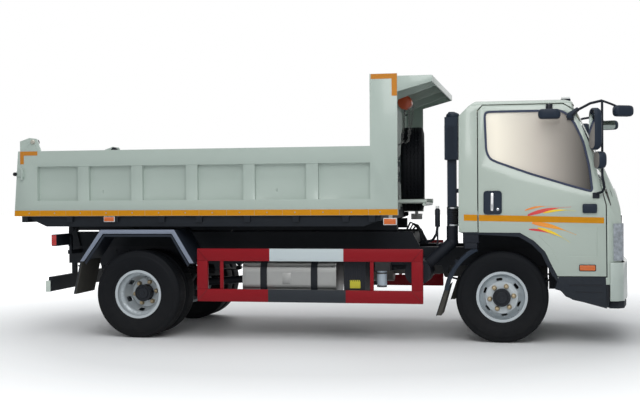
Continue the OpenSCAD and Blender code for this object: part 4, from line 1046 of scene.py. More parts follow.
def body_lamps(side, label):
    """Side marker lamps under the lower rail, in pale frames."""
    frames, lenses = Form(), Form()
    for x, z in (((-339, -224), (1138, 1194)), ((2438, 2564), (1105, 1171))):
        frames.box(x, (1060 * side, 1090 * side), z)
        lenses.box((x[0] + 7, x[1] - 7), (1089 * side, 1099 * side), (z[0] + 7, z[1] - 7))
    frames.box((-300, -264), (1040 * side, 1062 * side), (1150, 1215))
    frames.box((2484, 2520), (1040 * side, 1062 * side), (1150, 1215))
    piece(frames, f"marker_frames_{label}", "dump_body", "body_paint", "plate_white", bevel=4)
    piece(lenses, f"marker_lenses_{label}", "dump_body", "lamp_red", "orange_lens", bevel=4)


def gate_latches(side, label):
    """Bar and knob that hold the tailgate at the rear post."""
    bars = Form().box((-1252, -1173), ((BODY_HALF - 2) * side, (BODY_HALF + 20) * side), (1592, 1644))
    bars.box((-1200, -1180), ((BODY_HALF - 2) * side, (BODY_HALF + 32) * side), (1560, 1676))
    piece(bars, f"latch_bar_{label}", "dump_body", "body_paint", "body_paint", bevel=4)
    knob = Form().turned((-1262, (BODY_HALF - 4) * side, 1617), (0, side, 0),
                         [(0, 15), (12, 15), (14, 19), (38, 19), (44, 14), (45, 0.5)], 24)
    piece(knob, f"latch_knob_{label}", "dump_body", "subframe_black", "black_rubber")
    ear = Form().turned((-1088, 1060 * side, 1937), (0, side, 0), [(0, 24), (26, 24), (32, 18), (33, 0.5)],
                        20)
    piece(ear, f"gate_pin_cap_{label}", "dump_body", "body_paint", "zinc")


def gate_box(form, y, z, depth):
    """A block on the tailgate, its depths measured from the slanting rear edge."""
    outline = [(rear_at(z[0]) + depth[0], z[0]), (rear_at(z[0]) + depth[1], z[0]),
               (rear_at(z[1]) + depth[1], z[1]), (rear_at(z[1]) + depth[0], z[1])]
    return form.plate(outline, *y)


def make_tailgate():
    """A sheet with a frame and three upright ribs, hung from two arms at the top."""
    low, high = edges("tailgate")
    half = high.y
    z0, z1 = low.z, SIDE_TOP
    inner = 56
    gate = gate_box(Form(), (-half, half), (z0, z1), (32, inner))
    gate_box(gate, (-half, half), (z0, z0 + 120), (2, 33))
    gate_box(gate, (-half, half), (z1 - 110, z1), (2, 33))
    for y in (-half + 50, -half * 0.34, half * 0.34, half - 50):
        gate_box(gate, (y - 50, y + 50), (z0 + 110, z1 - 100), (2, 33))
    for side in (RIGHT, LEFT):
        gate.plate([(-1238, z1 - 3), (-1188, z1 - 3), (-1062, 1925), (-1078, 1965), (-1148, 1957),
                    (-1238, 1905)],
                   (half - 30) * side, half * side)
    piece(gate, "tailgate_panel", "tailgate", "body_paint", "body_paint", bevel=4, replaces=["tailgate"])
    hooks = Form()
    for side in (RIGHT, LEFT):
        gate_box(hooks, ((half - 120) * side, (half - 90) * side), (z0 + 14, z0 + 90), (3, 50))
        hooks.turned((-1088, (half - 36) * side, 1937), (0, side, 0), [(0, 34), (40, 34)], 28)
    piece(hooks, "gate_bushes", "tailgate", "body_paint", "chassis_black", bevel=2)


HOIST_Z = 2300
# Loose runs of the hand chain, from the drums down over the spare wheel
CHAIN_PATHS = (
    [(2597, -352, 2236), (2596, -354, 2120), (2594, -357, 2010), (2590, -360, 1925), (2570, -362, 1899),
     (2548, -352, 1903), (2530, -340, 1911), (2545, -330, 1922)],
    [(2556, -372, 2262), (2548, -374, 2150), (2541, -378, 2010), (2528, -386, 1900), (2476, -396, 1870),
     (2424, -401, 1815), (2415, -402, 1700), (2414, -402, 1575), (2421, -401, 1500)],
    [(2634, -330, 2262), (2622, -331, 2140), (2606, -334, 2020), (2588, -338, 1936), (2574, -341, 1917)],
)


def make_chain_hoist():
    """Hand hoist for the spare wheel: two drums, a dark frame with its hook, and loose chain."""
    low, high = edges("chain_hoist")
    x, y = (low.x + high.x) / 2, (low.y + high.y) / 2
    drums = Form()
    drums.turned((x, y + 20, HOIST_Z), (0, 1, 0), [(0, 40), (4, 64), (30, 68), (50, 62), (54, 30), (54, 1)],
                 36)
    drums.turned((x, y - 20, HOIST_Z), (0, -1, 0), [(0, 44), (4, 70), (28, 72), (46, 66), (54, 34), (54, 1)],
                 36)
    piece(drums, "hoist_drums", "dump_body", "hoist_orange", "hoist_orange", smooth=30,
          replaces=["chain_hoist"])
    dark = Form().turned((x, y - 22, HOIST_Z), (0, 1, 0), [(0, 50), (44, 50)], 30)
    dark.box((x - 26, x + 26), (y - 30, y + 30), (HOIST_Z + 30, HOIST_Z + 96))
    dark.rod([(x, y, HOIST_Z + 90), (x, y, 2470)], 16)
    dark.rod([(x - 34, y, 2420), (x - 30, y, 2452), (x, y, 2468), (x + 28, y, 2452), (x + 30, y, 2424)], 14)
    dark.rod([(x, y, HOIST_Z - 60), (x - 14, y, HOIST_Z - 96), (x, y, HOIST_Z - 128),
              (x + 20, y, HOIST_Z - 116)], 16)
    piece(dark, "hoist_frame", "dump_body", "chassis_black", "chassis_black", bevel=2)
    chains = Form()
    for path in CHAIN_PATHS:
        grow(chains, CHAIN, "chain_steel", path=path, Pitch=0.021, Wire=0.003, Link_Radius=0.014)
    piece(chains, "hoist_chains", "dump_body", "chassis_black", "chain_steel")


def make_load_body():
    both_sides(body_tapes)
    both_sides(rope_hooks)
    both_sides(body_lamps)
    both_sides(gate_latches)
    make_tailgate()
    make_chain_hoist()


# ---------------------------------------------------------------- cab outside

# The cab narrows upwards: height, half width
CAB_BELT = ((0, 990), (1280, 990), (1600, 960), (2185, 912), (2400, 894))


def side_y(z):
    """Half width of the cab's skin at a height."""
    for (z0, y0), (z1, y1) in zip(CAB_BELT, CAB_BELT[1:]):
        if z <= z1:
            return y0 + (y1 - y0) * (z - z0) / (z1 - z0)
    return CAB_BELT[-1][1]


def ahead(points):
    """Points given from the front axle, moved to this script's place."""
    return [(x + WHEELBASE, z) for x, z in points]


def on_skin(points, out, side):
    """Points of the side view laid on the cab's skin, out from it."""
    return [(x, (side_y(z) + out) * side, z) for x, z in points]


def skin_band(form, outline, out, inn, proud, deep, side):
    """A strip along a closed outline, from out to inn of it, proud of the skin."""
    wide, narrow = inset_outline(outline, out), inset_outline(outline, -inn)
    loops = [on_skin(wide, proud, side), on_skin(narrow, proud, side), on_skin(narrow, -deep, side),
             on_skin(wide, -deep, side), on_skin(wide, proud, side)]
    return form.add_loops(loops, cap=False)


def skin_plate(form, outline, proud, deep, side):
    """A filled outline that follows the skin."""
    return form.add_loops([on_skin(outline, proud, side), on_skin(outline, -deep, side)])


# Edge of the front wheel's arch; outwards from it is up, into the door
ARCH = ahead([(-390, 1035), (170, 1032), (296, 956), (395, 858), (457, 727), (506, 634), (520, 560)])
DOOR_WINDOW = ahead([(256, 1567), (600, 1458), (800, 1400), (825, 1412), (799, 1631), (747, 1864),
                     (668, 2038),
                     (600, 2125), (535, 2158), (-130, 2158), (-158, 2130), (-143, 1786), (-110, 1710),
                     (-46, 1677)])
LIP_WIDTH, CREASE_GAP = 40, 62
DOOR_LINE = 3309
# Two ends of the stripe: x, lower edge, upper edge
STRIPE = ((3178, 1141, 1199), (4439, 1114, 1168))
# Pointed blades of the print on the door: root, tip, width at the root, finish
BLADES = (
    ((3760, 1190), (4150, 1265), 34, "decal_red"), ((3800, 1120), (4195, 1010), 40, "decal_orange"),
    ((3735, 1235), (3990, 1268), 18, "decal_orange"), ((3850, 1075), (4140, 940), 26, "decal_yellow"),
    ((3900, 1210), (4190, 1228), 20, "decal_yellow"), ((3770, 1060), (4010, 1000), 20, "decal_red"),
)


def stripe_edges(x):
    """Lower and upper edge of the cab's stripe at x."""
    (x0, low0, top0), (x1, low1, top1) = STRIPE
    t = (x - x0) / (x1 - x0)
    return low0 + (low1 - low0) * t, top0 + (top1 - top0) * t


def stripe_part(x0, x1, side):
    low0, top0 = stripe_edges(x0)
    low1, top1 = stripe_edges(x1)
    return skin_plate(Form(), [(x0, low0), (x1, low1), (x1, top1), (x0, top0)], 1.2, 1, side)


def blade(form, root, tip, width, side, lift):
    """One curved, pointed blade, widest a third of the way along."""
    root, tip = Vector(root), Vector(tip)
    across = (tip - root).orthogonal().normalized()
    upper, lower = [], []
    steps = 12
    for k in range(steps + 1):
        t = k / steps
        centre = root.lerp(tip, t) + across * math.sin(t * math.pi) * 16
        half = max(0.4, width / 2 * math.sin(math.pi * min(1.0, t * 1.25 + 0.08) ** 0.8 * 0.98))
        upper.append(tuple(centre + across * half))
        lower.append(tuple(centre - across * half))
    return skin_plate(form, upper + lower[::-1], 1.2 + lift, 1, side)


def cab_markings(side, label):
    """The stripe along the cab and door, and the bundle of blades over it."""
    piece(stripe_part(3178, DOOR_LINE - 8, side), f"cab_stripe_{label}", "cab", "cab_paint", "amber_tape")
    piece(stripe_part(DOOR_LINE + 8, 4439, side), f"door_stripe_{label}", f"door_{label}", "cab_paint",
          "amber_tape")
    for k, (root, tip, width, finish) in enumerate(BLADES):
        print_piece = blade(Form(), root, tip, width, side, 0.4 + 0.3 * k)
        piece(print_piece, f"door_blade_{k + 1}_{label}", f"door_{label}", "cab_paint", finish)


def door_trim(side, label):
    """Window rubber, handle, lamp and pressed lines of one door."""
    door = f"door_{label}"
    rubber = skin_band(Form(), rounded(DOOR_WINDOW, 40), 3, 17, 4, 22, side)
    piece(rubber, f"door_window_rubber_{label}", door, "subframe_black", "window_rubber", bevel=1.5,
          segments=1)
    recess = rounded([(3359, 1198), (3527, 1198), (3527, 1417), (3359, 1417)], 34)
    piece(skin_plate(Form(), recess, 6, 2, side), f"handle_recess_{label}", door, "black_plastic",
          "blue_plastic")
    rim = skin_band(Form(), recess, 0, 9, 11, 2, side)
    piece(rim, f"handle_rim_{label}", door, "black_plastic", "blue_plastic", bevel=1)
    lever = skin_plate(Form(), rounded([(3425, 1232), (3450, 1230), (3452, 1396), (3427, 1397)], 9), 24, 0,
                       side)
    piece(lever, f"handle_lever_{label}", door, "lamp_clear", "chrome", bevel=4, segments=3)
    lock = Form().turned((3490, 988 * side, 1245), (0, side, 0), [(0, 13), (5, 13), (7, 10), (7, 0.5)], 24)
    piece(lock, f"door_lock_{label}", door, "lamp_clear", "bright_steel")
    frame_piece = skin_plate(Form(), rounded([(4217, 680), (4367, 680), (4367, 740), (4217, 740)], 12), 6, 1,
                             side)
    piece(frame_piece, f"door_lamp_frame_{label}", door, "black_plastic", "black_plastic", bevel=1.5)
    lens = skin_plate(Form(), rounded([(4223, 686), (4361, 686), (4361, 734), (4223, 734)], 10), 14, 1, side)
    piece(lens, f"door_lamp_lens_{label}", door, "lamp_red", "orange_lens", bevel=4, segments=3)
    creases = Form()
    creases.rod([(4378, 989 * side, z) for z in (820, 900, 1000, 1080)], 7, 8)
    creases.rod([(x, 989 * side, 808) for x in (4110, 4200, 4300, 4366)], 7, 8)
    creases.rod([(x, 989 * side, z) for x, z in inset_outline(ARCH, CREASE_GAP)[2:5]], 6, 8)
    piece(creases, f"door_creases_{label}", door, "cab_paint", "cab_paint")


def arch_parts(side, label):
    """Black lip and liner of the front wheel's arch, and the block behind it."""
    outer, inner = inset_outline(ARCH, -3), inset_outline(ARCH, -LIP_WIDTH)
    lip = Form().plate(outer + inner[::-1], 930 * side, 992 * side)
    piece(lip, f"arch_lip_{label}", "cab", "black_plastic", "step_plastic", bevel=4)
    shell = inset_outline(ARCH, -8) + inset_outline(ARCH, -16)[::-1]
    piece(Form().plate(shell, 492 * side, 934 * side), f"arch_liner_{label}", "cab", "black_plastic",
          "under_black")
    wall = Form().plate([(3136, 862), (3136, 1028), (3686, 1022), (3804, 948), (3884, 862)], 490 * side,
                        500 * side)
    piece(wall, f"arch_inner_wall_{label}", "cab", "black_plastic", "under_black")
    block = Form().box((3167, 3314), (800 * side, 985 * side), (933, 1033))
    block.box((3180, 3300), (820 * side, 980 * side), (880, 935))
    piece(block, f"rear_arch_block_{label}", "cab", "black_plastic", "black_plastic", bevel=8, segments=3)


# Step panel in the side view: level top, slanting lower edge, stepped towards the tyre
STEP_OUTLINE = ahead([(513, 628), (935, 628), (943, 342), (632, 425), (576, 449), (534, 499), (482, 513)])


def step_parts(side, label):
    """The black step panel under the door, with its two treads and screws."""
    panel = Form().plate(STEP_OUTLINE, 952 * side, 992 * side)
    piece(panel, f"step_panel_{label}", "cab", "black_plastic", "step_plastic", bevel=6, segments=3)
    treads = Form().box((4130, 4420), (990 * side, 996 * side), (548, 556))
    treads.box((4175, 4420), (990 * side, 996 * side), (486, 492))
    piece(treads, f"step_edges_{label}", "cab", "black_plastic", "black_plastic", bevel=2)
    screws = Form()
    heads(screws, (4100, 991 * side, 596), (74, 0, 0), 5, 7, 3, "bright_steel", (0, side, 0))
    heads(screws, (4200, 991 * side, 438), (110, 0, -6), 3, 6, 3, "bright_steel", (0, side, 0))
    piece(screws, f"step_screws_{label}", "cab", "black_plastic", "black_plastic")
    column = Form().box((4452, 4489), (930 * side, 984 * side), (400, 1110))
    piece(column, f"corner_column_{label}", "cab", "black_plastic", "black_plastic", bevel=5)


# Mirror shells: x from the front axle, y, z, depth, width, height, turn in degrees, glass faces backwards
MIRRORS = (
    ("main", (840, 1120, 1963), (60, 170, 375), -16), ("wide", (880, 1114, 1685), (60, 165, 153), -16),
    ("front", (1085, 1060, 2122), (60, 190, 100), 60), ("kerb", (438, 1075, 2108), (90, 200, 90), 90),
)


# Mirror arms: diameter and path, x from the front axle
MIRROR_ARMS = (
    (22, [(900, 1100, 1530), (900, 1100, 2220)]),
    (24, [(645, 946, 2100), (700, 985, 2150), (800, 1050, 2198), (900, 1100, 2216)]),
    (24, [(858, 996, 1385), (902, 1040, 1400), (918, 1085, 1440), (900, 1100, 1545)]),
    (20, [(900, 1100, 2215), (980, 1082, 2185), (1060, 1060, 2150)]),
    (16, [(438, 930, 2190), (438, 1000, 2205), (438, 1060, 2185), (438, 1075, 2150)]),
)


def mirror_shell(form, spot, size, turn, side):
    """A pillow-shaped housing around a mirror's core."""
    depth, width, height = size
    centre = Vector((spot[0] + WHEELBASE, spot[1] * side, spot[2]))
    swing = Matrix.Rotation(math.radians(turn * side), 3, "Z")
    corner = min(width, height) * 0.42
    base = rounded([(-width / 2, -height / 2), (width / 2, -height / 2), (width / 2, height / 2),
                    (-width / 2, height / 2)], corner, 6)
    rings = []
    for x, share in ((-depth / 2 - 2, 0.955), (-depth / 2 + 4, 1.0), (depth * 0.2, 1.0), (depth / 2, 0.93),
                     (depth / 2 + 9, 0.78), (depth / 2 + 13, 0.5)):
        rings.append([centre + swing @ Vector((x, a * share, b * share)) for a, b in base])
    form.add_loops(rings)
    face = [centre + swing @ Vector((-depth / 2 - 2.4, a * 0.90, b * 0.93)) for a, b in base]
    back = [p + swing @ Vector((1.5, 0, 0)) for p in face]
    return [face, back]


def mirror_parts(side, label):
    """Housings, glass and arms of one side's four mirrors, with their feet."""
    body = frame["nodes"][f"mirrors_{label}"]["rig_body"]
    shells, glass = Form(), Form()
    for _, spot, size, turn in MIRRORS:
        glass.add_loops(mirror_shell(shells, spot, size, turn, side))
    piece(shells, f"mirror_shells_{label}", body, "black_plastic", "blue_plastic", smooth=50,
          replaces=[f"mirrors_{label}"])
    arms = Form()
    for d, path in MIRROR_ARMS:
        arms.rod([(x + WHEELBASE, y * side, z) for x, y, z in path], d)
    for z in (1850, 2075):
        arms.box((WHEELBASE + 850, WHEELBASE + 905), (1082 * side, 1118 * side), (z - 14, z + 14))
    for x, y, z in ((628, 918, 2085), (850, 970, 1368), (438, 908, 2184)):
        arms.box((WHEELBASE + x - 30, WHEELBASE + x + 30), ((y - 30) * side, (y + 26) * side),
                 (z - 26, z + 26))
    piece(arms, f"mirror_arms_{label}", body, "black_plastic", "black_plastic", bevel=1.5, segments=1)
    piece(glass, f"mirror_glass_{label}", body, "lamp_clear", "mirror_silver")
    brackets = Form().box((4250, 4378), (984 * side, 1016 * side), (1208, 1292))
    piece(brackets, f"mirror_foot_{label}", f"door_{label}", "black_plastic", "blue_plastic", bevel=12,
          segments=3)
    fan = Form().plate(ahead([(588, 2080), (640, 2072), (704, 2150), (690, 2177), (600, 2120)]), 905 * side,
                       950 * side)
    piece(fan, f"mirror_fan_bracket_{label}", body, "black_plastic", "blue_plastic", bevel=8)


def make_snorkel():
    """Intake head with its slatted screen, bellows and clamps, and the elbow to the air cleaner."""
    low, high = edges("snorkel")
    body = frame["nodes"]["snorkel"]["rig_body"]
    fins = Form()
    x, y = (low.x + high.x) / 2, -700
    slats(fins, (x - 18, -791, 1722), (0, 0, 11), 29, (74, 6, 4), "blue_plastic")
    slats(fins, (low.x - 1, y, 1722), (0, 0, 11), 29, (6, 150, 4), "blue_plastic")
    piece(fins, "snorkel_slats", body, "black_plastic", "blue_plastic")
    head = Form().turned((x, y, 2116), (0, 0, 1), [(0, 62), (20, 66), (38, 58), (50, 36), (56, 8),
                                                   (57, 0.5)], 36)
    piece(head, "snorkel_dome", body, "black_plastic", "blue_plastic", smooth=60)
    rings = [(0, 50)]
    for k in range(9):
        rings += [(8 + k * 20, 58), (16 + k * 20, 58), (20 + k * 20, 48), (26 + k * 20, 48)]
    bellows = Form().turned((x, y, 1086), (0, 0, 1), rings + [(186, 50)], 36)
    piece(bellows, "snorkel_bellows", body, "black_plastic", "black_rubber", smooth=30)
    clamps = Form().turned((x, y, 1250), (0, 0, 1), [(0, 61), (14, 61)], 36)
    clamps.turned((x, y, 1086), (0, 0, 1), [(0, 61), (14, 61)], 36)
    piece(clamps, "snorkel_clamps", body, "exhaust_steel", "bright_steel")
    bottle = Form().turned((2912, -760, 1078), (0, 0, 1),
                           [(0, 22), (4, 25), (160, 25), (172, 18), (178, 14)], 24)
    piece(bottle, "fluid_bottle", "chassis", "black_plastic", "black_plastic")
    stay = Form().box((2904, 2920), (-768, -752), (910, 1084)).box((2900, 2924), (-768, -462), (900, 914))
    stay.rod([(2912, -760, 1082), (2900, -740, 1010), (2860, -700, 950), (2790, -640, 925)], 26)
    piece(stay, "fluid_bottle_stay", "chassis", "black_plastic", "chassis_black", bevel=2)
    lid = Form().turned((2912, -760, 1254), (0, 0, 1), [(0, 17), (18, 17), (22, 13), (22, 0.5)], 20)
    piece(lid, "fluid_bottle_cap", "chassis", "filter_pale", "plate_white")


def roof_lamps(side, label):
    """Clearance lamps over the door."""
    base = Form().box((4062, 4152), (780 * side, 830 * side), (2236, 2262))
    piece(base, f"roof_lamp_base_{label}", "cab", "black_plastic", "black_plastic", bevel=5)
    lens = Form().box((4068, 4146), (785 * side, 825 * side), (2258, 2282))
    piece(lens, f"roof_lamp_lens_{label}", "cab", "lamp_clear", "plate_white", bevel=8, segments=3)


def make_cab_front():
    """Chin under the bumper, and the blank number plate."""
    chin = Form().slab([(4484, -925), (4564, -935), (4622, -880), (4658, -600), (4672, 0), (4658, 600),
                        (4622, 880),
                        (4564, 935), (4484, 925)], 338, 412)
    piece(chin, "bumper_chin", "cab", "black_plastic", "step_plastic", bevel=6)
    bumper_face = edges("front_bumper")[1].x
    plate = Form().box((bumper_face - 3, bumper_face), (-240, 240), (500, 620))
    piece(plate, "front_plate", "cab", "lamp_clear", "plate_white", bevel=1)


def make_cab_outside():
    both_sides(cab_markings)
    both_sides(door_trim)
    both_sides(arch_parts)
    both_sides(step_parts)
    both_sides(mirror_parts)
    both_sides(roof_lamps)
    make_snorkel()
    make_cab_front()


# ---------------------------------------------------------------- chassis

# Rear fender in the side view, from its rear foot over the wheel to its front foot
FENDER_OUTER = [(-592, 750), (-372, 1062), (386, 1062), (584, 737)]
FENDER_INNER = [(-552, 748), (-349, 1022), (363, 1022), (540, 735)]


def fender_parts(side, label):
    """Pressed lip of the rear fender, and its rubber flap."""
    lip = Form().plate(FENDER_OUTER + FENDER_INNER[::-1], 1080 * side, 1092 * side)
    piece(lip, f"fender_lip_{label}", "chassis", "fender_black", "fender_lip", bevel=3)
    inner_lip = [(x * 0.965, z - 30) for x, z in FENDER_INNER]
    fold = Form().plate([(x * 0.985, z - 8) for x, z in FENDER_INNER] + inner_lip[::-1], 1070 * side,
                        1084 * side)
    piece(fold, f"fender_fold_{label}", "chassis", "fender_black", "fender_paint", bevel=2)
    flap = Form().plate([(-592, 760), (-668, 425), (-644, 423), (-570, 752)], 622 * side, 1078 * side)
    piece(flap, f"rear_flap_{label}", "chassis", "fender_black", "mudflap")
    bolts = Form()
    heads(bolts, (-594, 660 * side, 742), (0, 90 * side, 0), 5, 11, 8, "zinc", (-1, 0, 0), sides=6, top=0.85)
    piece(bolts, f"rear_flap_bolts_{label}", "chassis", "fender_black", "zinc")


def front_guard_parts(side, label):
    """Side flange and rubber flap of the front mudguard."""
    flange = arc(WHEELBASE, TYRE_R - 10, 536, 116, 172, 14) + arc(WHEELBASE, TYRE_R - 10, 492, 172, 116, 14)
    piece(Form().plate(flange, 944 * side, 960 * side), f"front_guard_flange_{label}", "chassis",
          "black_plastic",
          "blue_plastic", bevel=3)
    sheet = arc(WHEELBASE, TYRE_R - 10, 534, 116, 172, 14) + arc(WHEELBASE, TYRE_R - 10, 526, 172, 116, 14)
    piece(Form().plate(sheet, 640 * side, 950 * side), f"front_guard_sheet_{label}", "chassis",
          "black_plastic",
          "step_plastic")
    splash = Form().plate([(3884, 862), (4010, 862), (4046, 600), (4046, 470), (3950, 470), (3950, 700)],
                          440 * side, 448 * side)
    piece(splash, f"front_splash_plate_{label}", "chassis", "black_plastic", "under_black")
    flap = Form().plate([(2990, 498), (3046, 548), (2962, 252), (2914, 252)], 652 * side, 950 * side)
    piece(flap, f"front_flap_{label}", "chassis", "fender_black", "mudflap", bevel=3)


def tail_parts(side, label):
    """Lamp lenses, bar ends and hinge cheeks at the tail."""
    y0, y1 = 648 * side, 992 * side
    thirds = [y0 + (y1 - y0) * k / 3 for k in range(4)]
    for k, finish in enumerate(("clear_lens", "orange_lens", "red_lens")):
        lens = Form().box((-937, -931), (thirds[k] + 3 * side, thirds[k + 1] - 3 * side), (902, 1004))
        piece(lens, f"tail_lens_{k + 1}_{label}", "chassis", "lamp_red", finish, bevel=2)
    piece(Form().box((-936, -884), (1000 * side, 1003 * side), (902, 1004)), f"tail_lens_side_{label}",
          "chassis",
          "lamp_red", "red_lens", bevel=1)
    end = Form().box((-1002, -953), (994 * side, 1004 * side), (435, 548))
    piece(end, f"underrun_end_{label}", "chassis", "chassis_black", "carrier_paint", bevel=3)
    cheek = Form().plate([(-1008, 1000), (-905, 985), (-905, 1150), (-940, 1185), (-1000, 1150)], 434 * side,
                         446 * side)
    piece(cheek, f"hinge_cheek_{label}", "chassis", "chassis_black", "chassis_black", bevel=3)


def skirt_and_underbody_shade(side, label):
    """A dark plate under the body's edge, with its sloping rear end: it stands partly for the cross-bearers'
    ends and partly for the shade under the body.
    """
    # Dark plate for the band under the body: partly real cross-bearer ends, partly painted shade
    outline = [(-1190, 1194), (-960, 1092), (2250, 1092), (2410, 1150), (2410, 1194)]
    piece(Form().plate(outline, 1050 * side, 1058 * side), f"body_skirt_{label}", "dump_body",
          "subframe_black",
          "under_black", bevel=2)


def frame_bolts(side, label):
    """Bolt rows on the frame's web."""
    bolts = Form()
    for z in (660, 820):
        heads(bolts, (-900, 431 * side, z), (140, 0, 0), 26, 10, 8, "chassis_black", (0, side, 0), sides=6,
              top=0.85)
    piece(bolts, f"frame_bolts_{label}", "chassis", "chassis_black", "chassis_black")


def guard_joints(side, label):
    """Mitred seams at the guard's corners."""
    low, high = edges(f"guard_rails_{label}")
    seams = Form()
    bar, post = 118, 104
    for x, dx in ((low.x, post), (high.x, -post)):
        for z, dz in ((low.z, bar), (high.z, -bar)):
            face = (high.y if side > 0 else low.y) + 0.4 * side
            seams.rod([(x + dx * 0.04, face, z + dz * 0.04), (x + dx * 0.97, face, z + dz * 0.97)], 3, 6)
    piece(seams, f"guard_seams_{label}", "chassis", "guard_red", "seam_red")


def tank_ring(form, x0, x1, proud):
    low, high = edges("fuel_tank")
    top = 762
    corners = [(low.y - proud, low.z - proud), (high.y + proud, low.z - proud),
               (high.y + proud, top + proud),
               (low.y - proud, top + proud)]
    return form.section(rounded(corners, 124, 8), x0, x1)


def tank_parts():
    """Rolled rims, a patch on the outer face and the filler's cap."""
    low, high = edges("fuel_tank")
    rings = tank_ring(Form(), low.x + 1, low.x + 16, 5)
    for x in (low.x + 26, high.x - 30):
        tank_ring(rings, x, x + 5, 3)
    tank_ring(rings, high.x - 16, high.x - 1, 5)
    piece(rings, "tank_rims", "chassis", "tank_aluminium", "tank_metal", smooth=50)
    patch = Form().box((1430, 1512), (low.y - 1.5, low.y + 2), (530, 640))
    piece(patch, "tank_patch", "chassis", "tank_aluminium", "tank_metal", bevel=1)
    cap = Form().turned((1467, low.y + 150, 766), (0, 0, 1),
                        [(0, 47), (6, 48), (16, 48), (19.5, 44), (20, 0.5)], 36)
    piece(cap, "tank_cap", "chassis", "tank_aluminium", "chassis_black")


def battery_box_parts():
    """A plain yellow label and the upright ribs of the box's lid."""
    low = edges("battery_box")[0]
    label = Form().box((2096, 2197), (low.y - 1.5, low.y + 1), (500, 578))
    piece(label, "box_label", "chassis", "black_plastic", "label_yellow")
    ribs = Form()
    slats(ribs, (low.x + 14, low.y - 2, 640), (18, 0, 0), 11, (5, 5, 150), "black_plastic")
    piece(ribs, "box_ribs", "chassis", "black_plastic", "black_plastic")


def filter_can():
    profile = [(0, 40), (8, 48), (120, 49.5), (134, 47), (150, 49.5), (156, 49.5)]
    can = Form().turned((2380, -800, 502), (0, 0, 1), profile, 32)
    piece(can, "filter_canister", "chassis", "filter_pale", "filter_paint", smooth=30)


def brake_hoses():
    """Four hoses that rise from a bracket on the subframe and bend down behind the cab."""
    hoses = Form()
    for k in range(4):
        y = -330 + 34 * k
        hoses.rod([(2540 + 30 * k, y, 880), (2552 + 24 * k, y - 12, 1010),
                   (2600 + 20 * k, y - 10, 1110 - 22 * k),
                   (2676 + 10 * k, y + 6, 1080 - 20 * k), (2716, y + 20, 930)], 20 - 3 * (k % 2), 10)
    hoses.box((2440, 2476), (-360, -300), (872, 1060))
    piece(hoses, "brake_hoses", "chassis", "black_plastic", "black_rubber")


def make_chassis_parts():
    for make in (fender_parts, front_guard_parts, tail_parts, skirt_and_underbody_shade, frame_bolts, guard_joints):
        both_sides(make)
    tank_parts()
    battery_box_parts()
    filter_can()
    brake_hoses()


# ---------------------------------------------------------------- inside the cab

# Right and left edge of each seat
SEAT_SPANS = ((-855, -330), (-310, 230), (270, 800))
# The higher this power, the squarer a pad's corners
PAD_POWER = 7
CHANNEL_WIDTH, CHANNEL_DEPTH = 0.035, 0.10


def pad(name, low, high, lean, channels):
    """A crowned seat pad between two corners; lean moves its top backwards."""
    bm = bmesh.new()
    bmesh.ops.create_cube(bm, size=2)
    bmesh.ops.subdivide_edges(bm, edges=bm.edges[:], cuts=19, use_grid_fill=True)
    low, high = Vector(low), Vector(high)
    half, centre = (high - low) / 2, (high + low) / 2
    thin = min(range(3), key=lambda i: half[i])
    for v in bm.verts:
        square = max(abs(c) for c in v.co)
        softened = sum(abs(c) ** PAD_POWER for c in v.co) ** (1 / PAD_POWER)
        u = v.co * (square / softened)
        crown = 1.0
        for i in range(3):
            if i != thin:
                crown *= 1 - 0.5 * abs(u[i]) ** 3
        u[thin] *= 0.72 + 0.28 * crown
        groove = sum(math.exp(-((u.y - c) / CHANNEL_WIDTH) ** 2) for c in channels)
        u[thin] *= 1 - CHANNEL_DEPTH * groove
        spot = Vector([centre[i] + u[i] * half[i] for i in range(3)])
        spot.x -= lean * (spot.z - low.z) / (high.z - low.z)
        v.co = place(*spot)
    bmesh.ops.recalc_face_normals(bm, faces=bm.faces)
    mesh = bpy.data.meshes.new(name)
    bm.to_mesh(mesh)
    bm.free()
    made = install(mesh, name, "cab", ["seat_fabric"], 70)
    return made


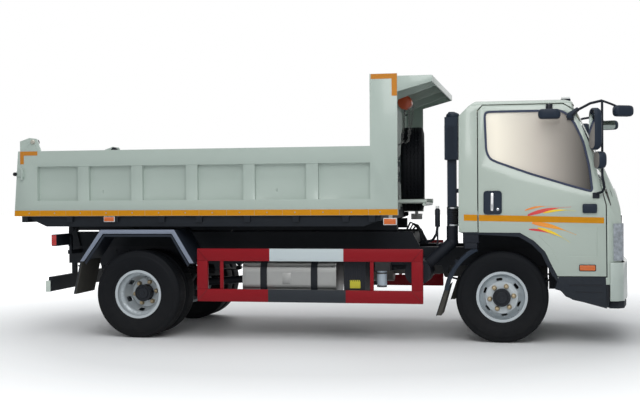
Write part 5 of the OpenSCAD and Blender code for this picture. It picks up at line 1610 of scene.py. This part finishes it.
def make_cab_inside():
    """Three seats with padded cushions and backs."""
    base = WHEELBASE
    for k, (y0, y1) in enumerate(SEAT_SPANS):
        seat_pad = pad(f"seat_cushion_{k + 1}", (base - 200, y0, 1190), (base + 275, y1, 1330), 0,
                       (-0.45, 0.45))
        pad(f"seat_back_{k + 1}", (base - 246, y0 + 8, 1290), (base - 150, y1 - 8, 1950), 90, (-0.5, 0.5))
        if k == 0:
            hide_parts("seats")
    plinths = Form()
    floor = edges("seats")[0].z
    for y0, y1 in SEAT_SPANS:
        plinths.box((WHEELBASE - 225, WHEELBASE + 245), (y0 + 6, y1 - 6), (floor + 1, 1196))
    piece(plinths, "seat_plinths", "cab", "trim_grey", "inner_trim", bevel=10)


# ---------------------------------------------------------------- everything

# Frame nodes that stay in view, and their finish
DRESSED = {
    "ladder_frame": "chassis_black", "tipper_subframe": "under_black", "engine": "cast_iron",
    "gearbox": "cast_iron",
    "propshaft": "chassis_black", "front_axle": "chassis_black", "rear_axle": "chassis_black",
    "leaf_springs": "spring_steel", "fuel_tank": "tank_metal", "tank_straps": "under_black",
    "battery_box": "black_plastic", "fuel_filter": "cast_iron", "air_cleaner": "black_plastic",
    "silencer": "exhaust", "rear_fenders": "fender_paint", "underrun_bar": "chassis_black",
    "rear_lamps": "chassis_black", "front_mudguards": "fender_paint", "cab_glass": "screen_glass",
    "grille_panel": "black_plastic", "headlamps": "clear_lens", "step_panels": "step_plastic",
    "dashboard": "inner_trim", "snorkel": "blue_plastic", "steering_wheel": "black_plastic",
    "door_right_glass": "side_glass", "door_left_glass": "side_glass",
    "knuckle_right": "chassis_black", "knuckle_left": "chassis_black",
    "bed_floor": "under_black", "spare_carrier": "carrier_paint",
    "hoist_tube": "chassis_black", "hoist_rod": "rod_chrome",
}
# Frame nodes shown as a copy with rounded edges: finish and radius
ROUNDED = {
    "cab_shell": ("cab_paint", 7), "door_right": ("cab_paint", 3), "door_left": ("cab_paint", 3),
    "front_bumper": ("bumper_plastic", 8), "bed_sides": ("body_paint", 4), "headboard": ("body_paint", 3),
    "guard_rails_right": ("guard_red", 4), "guard_rails_left": ("guard_red", 4),
    "guard_posts_right": ("guard_red", 3), "guard_posts_left": ("guard_red", 3),
}


def main():
    set_camera()
    set_light()
    lay_floor()
    for source, finish in DRESSED.items():
        dress(source, finish)
    for source, (finish, radius) in ROUNDED.items():
        bevelled_copy(source, source + "_panels", finish, radius)
    make_wheels()
    make_load_body()
    make_cab_outside()
    make_chassis_parts()
    make_cab_inside()


main()
bpy.context.scene.view_settings.view_transform = "Standard"
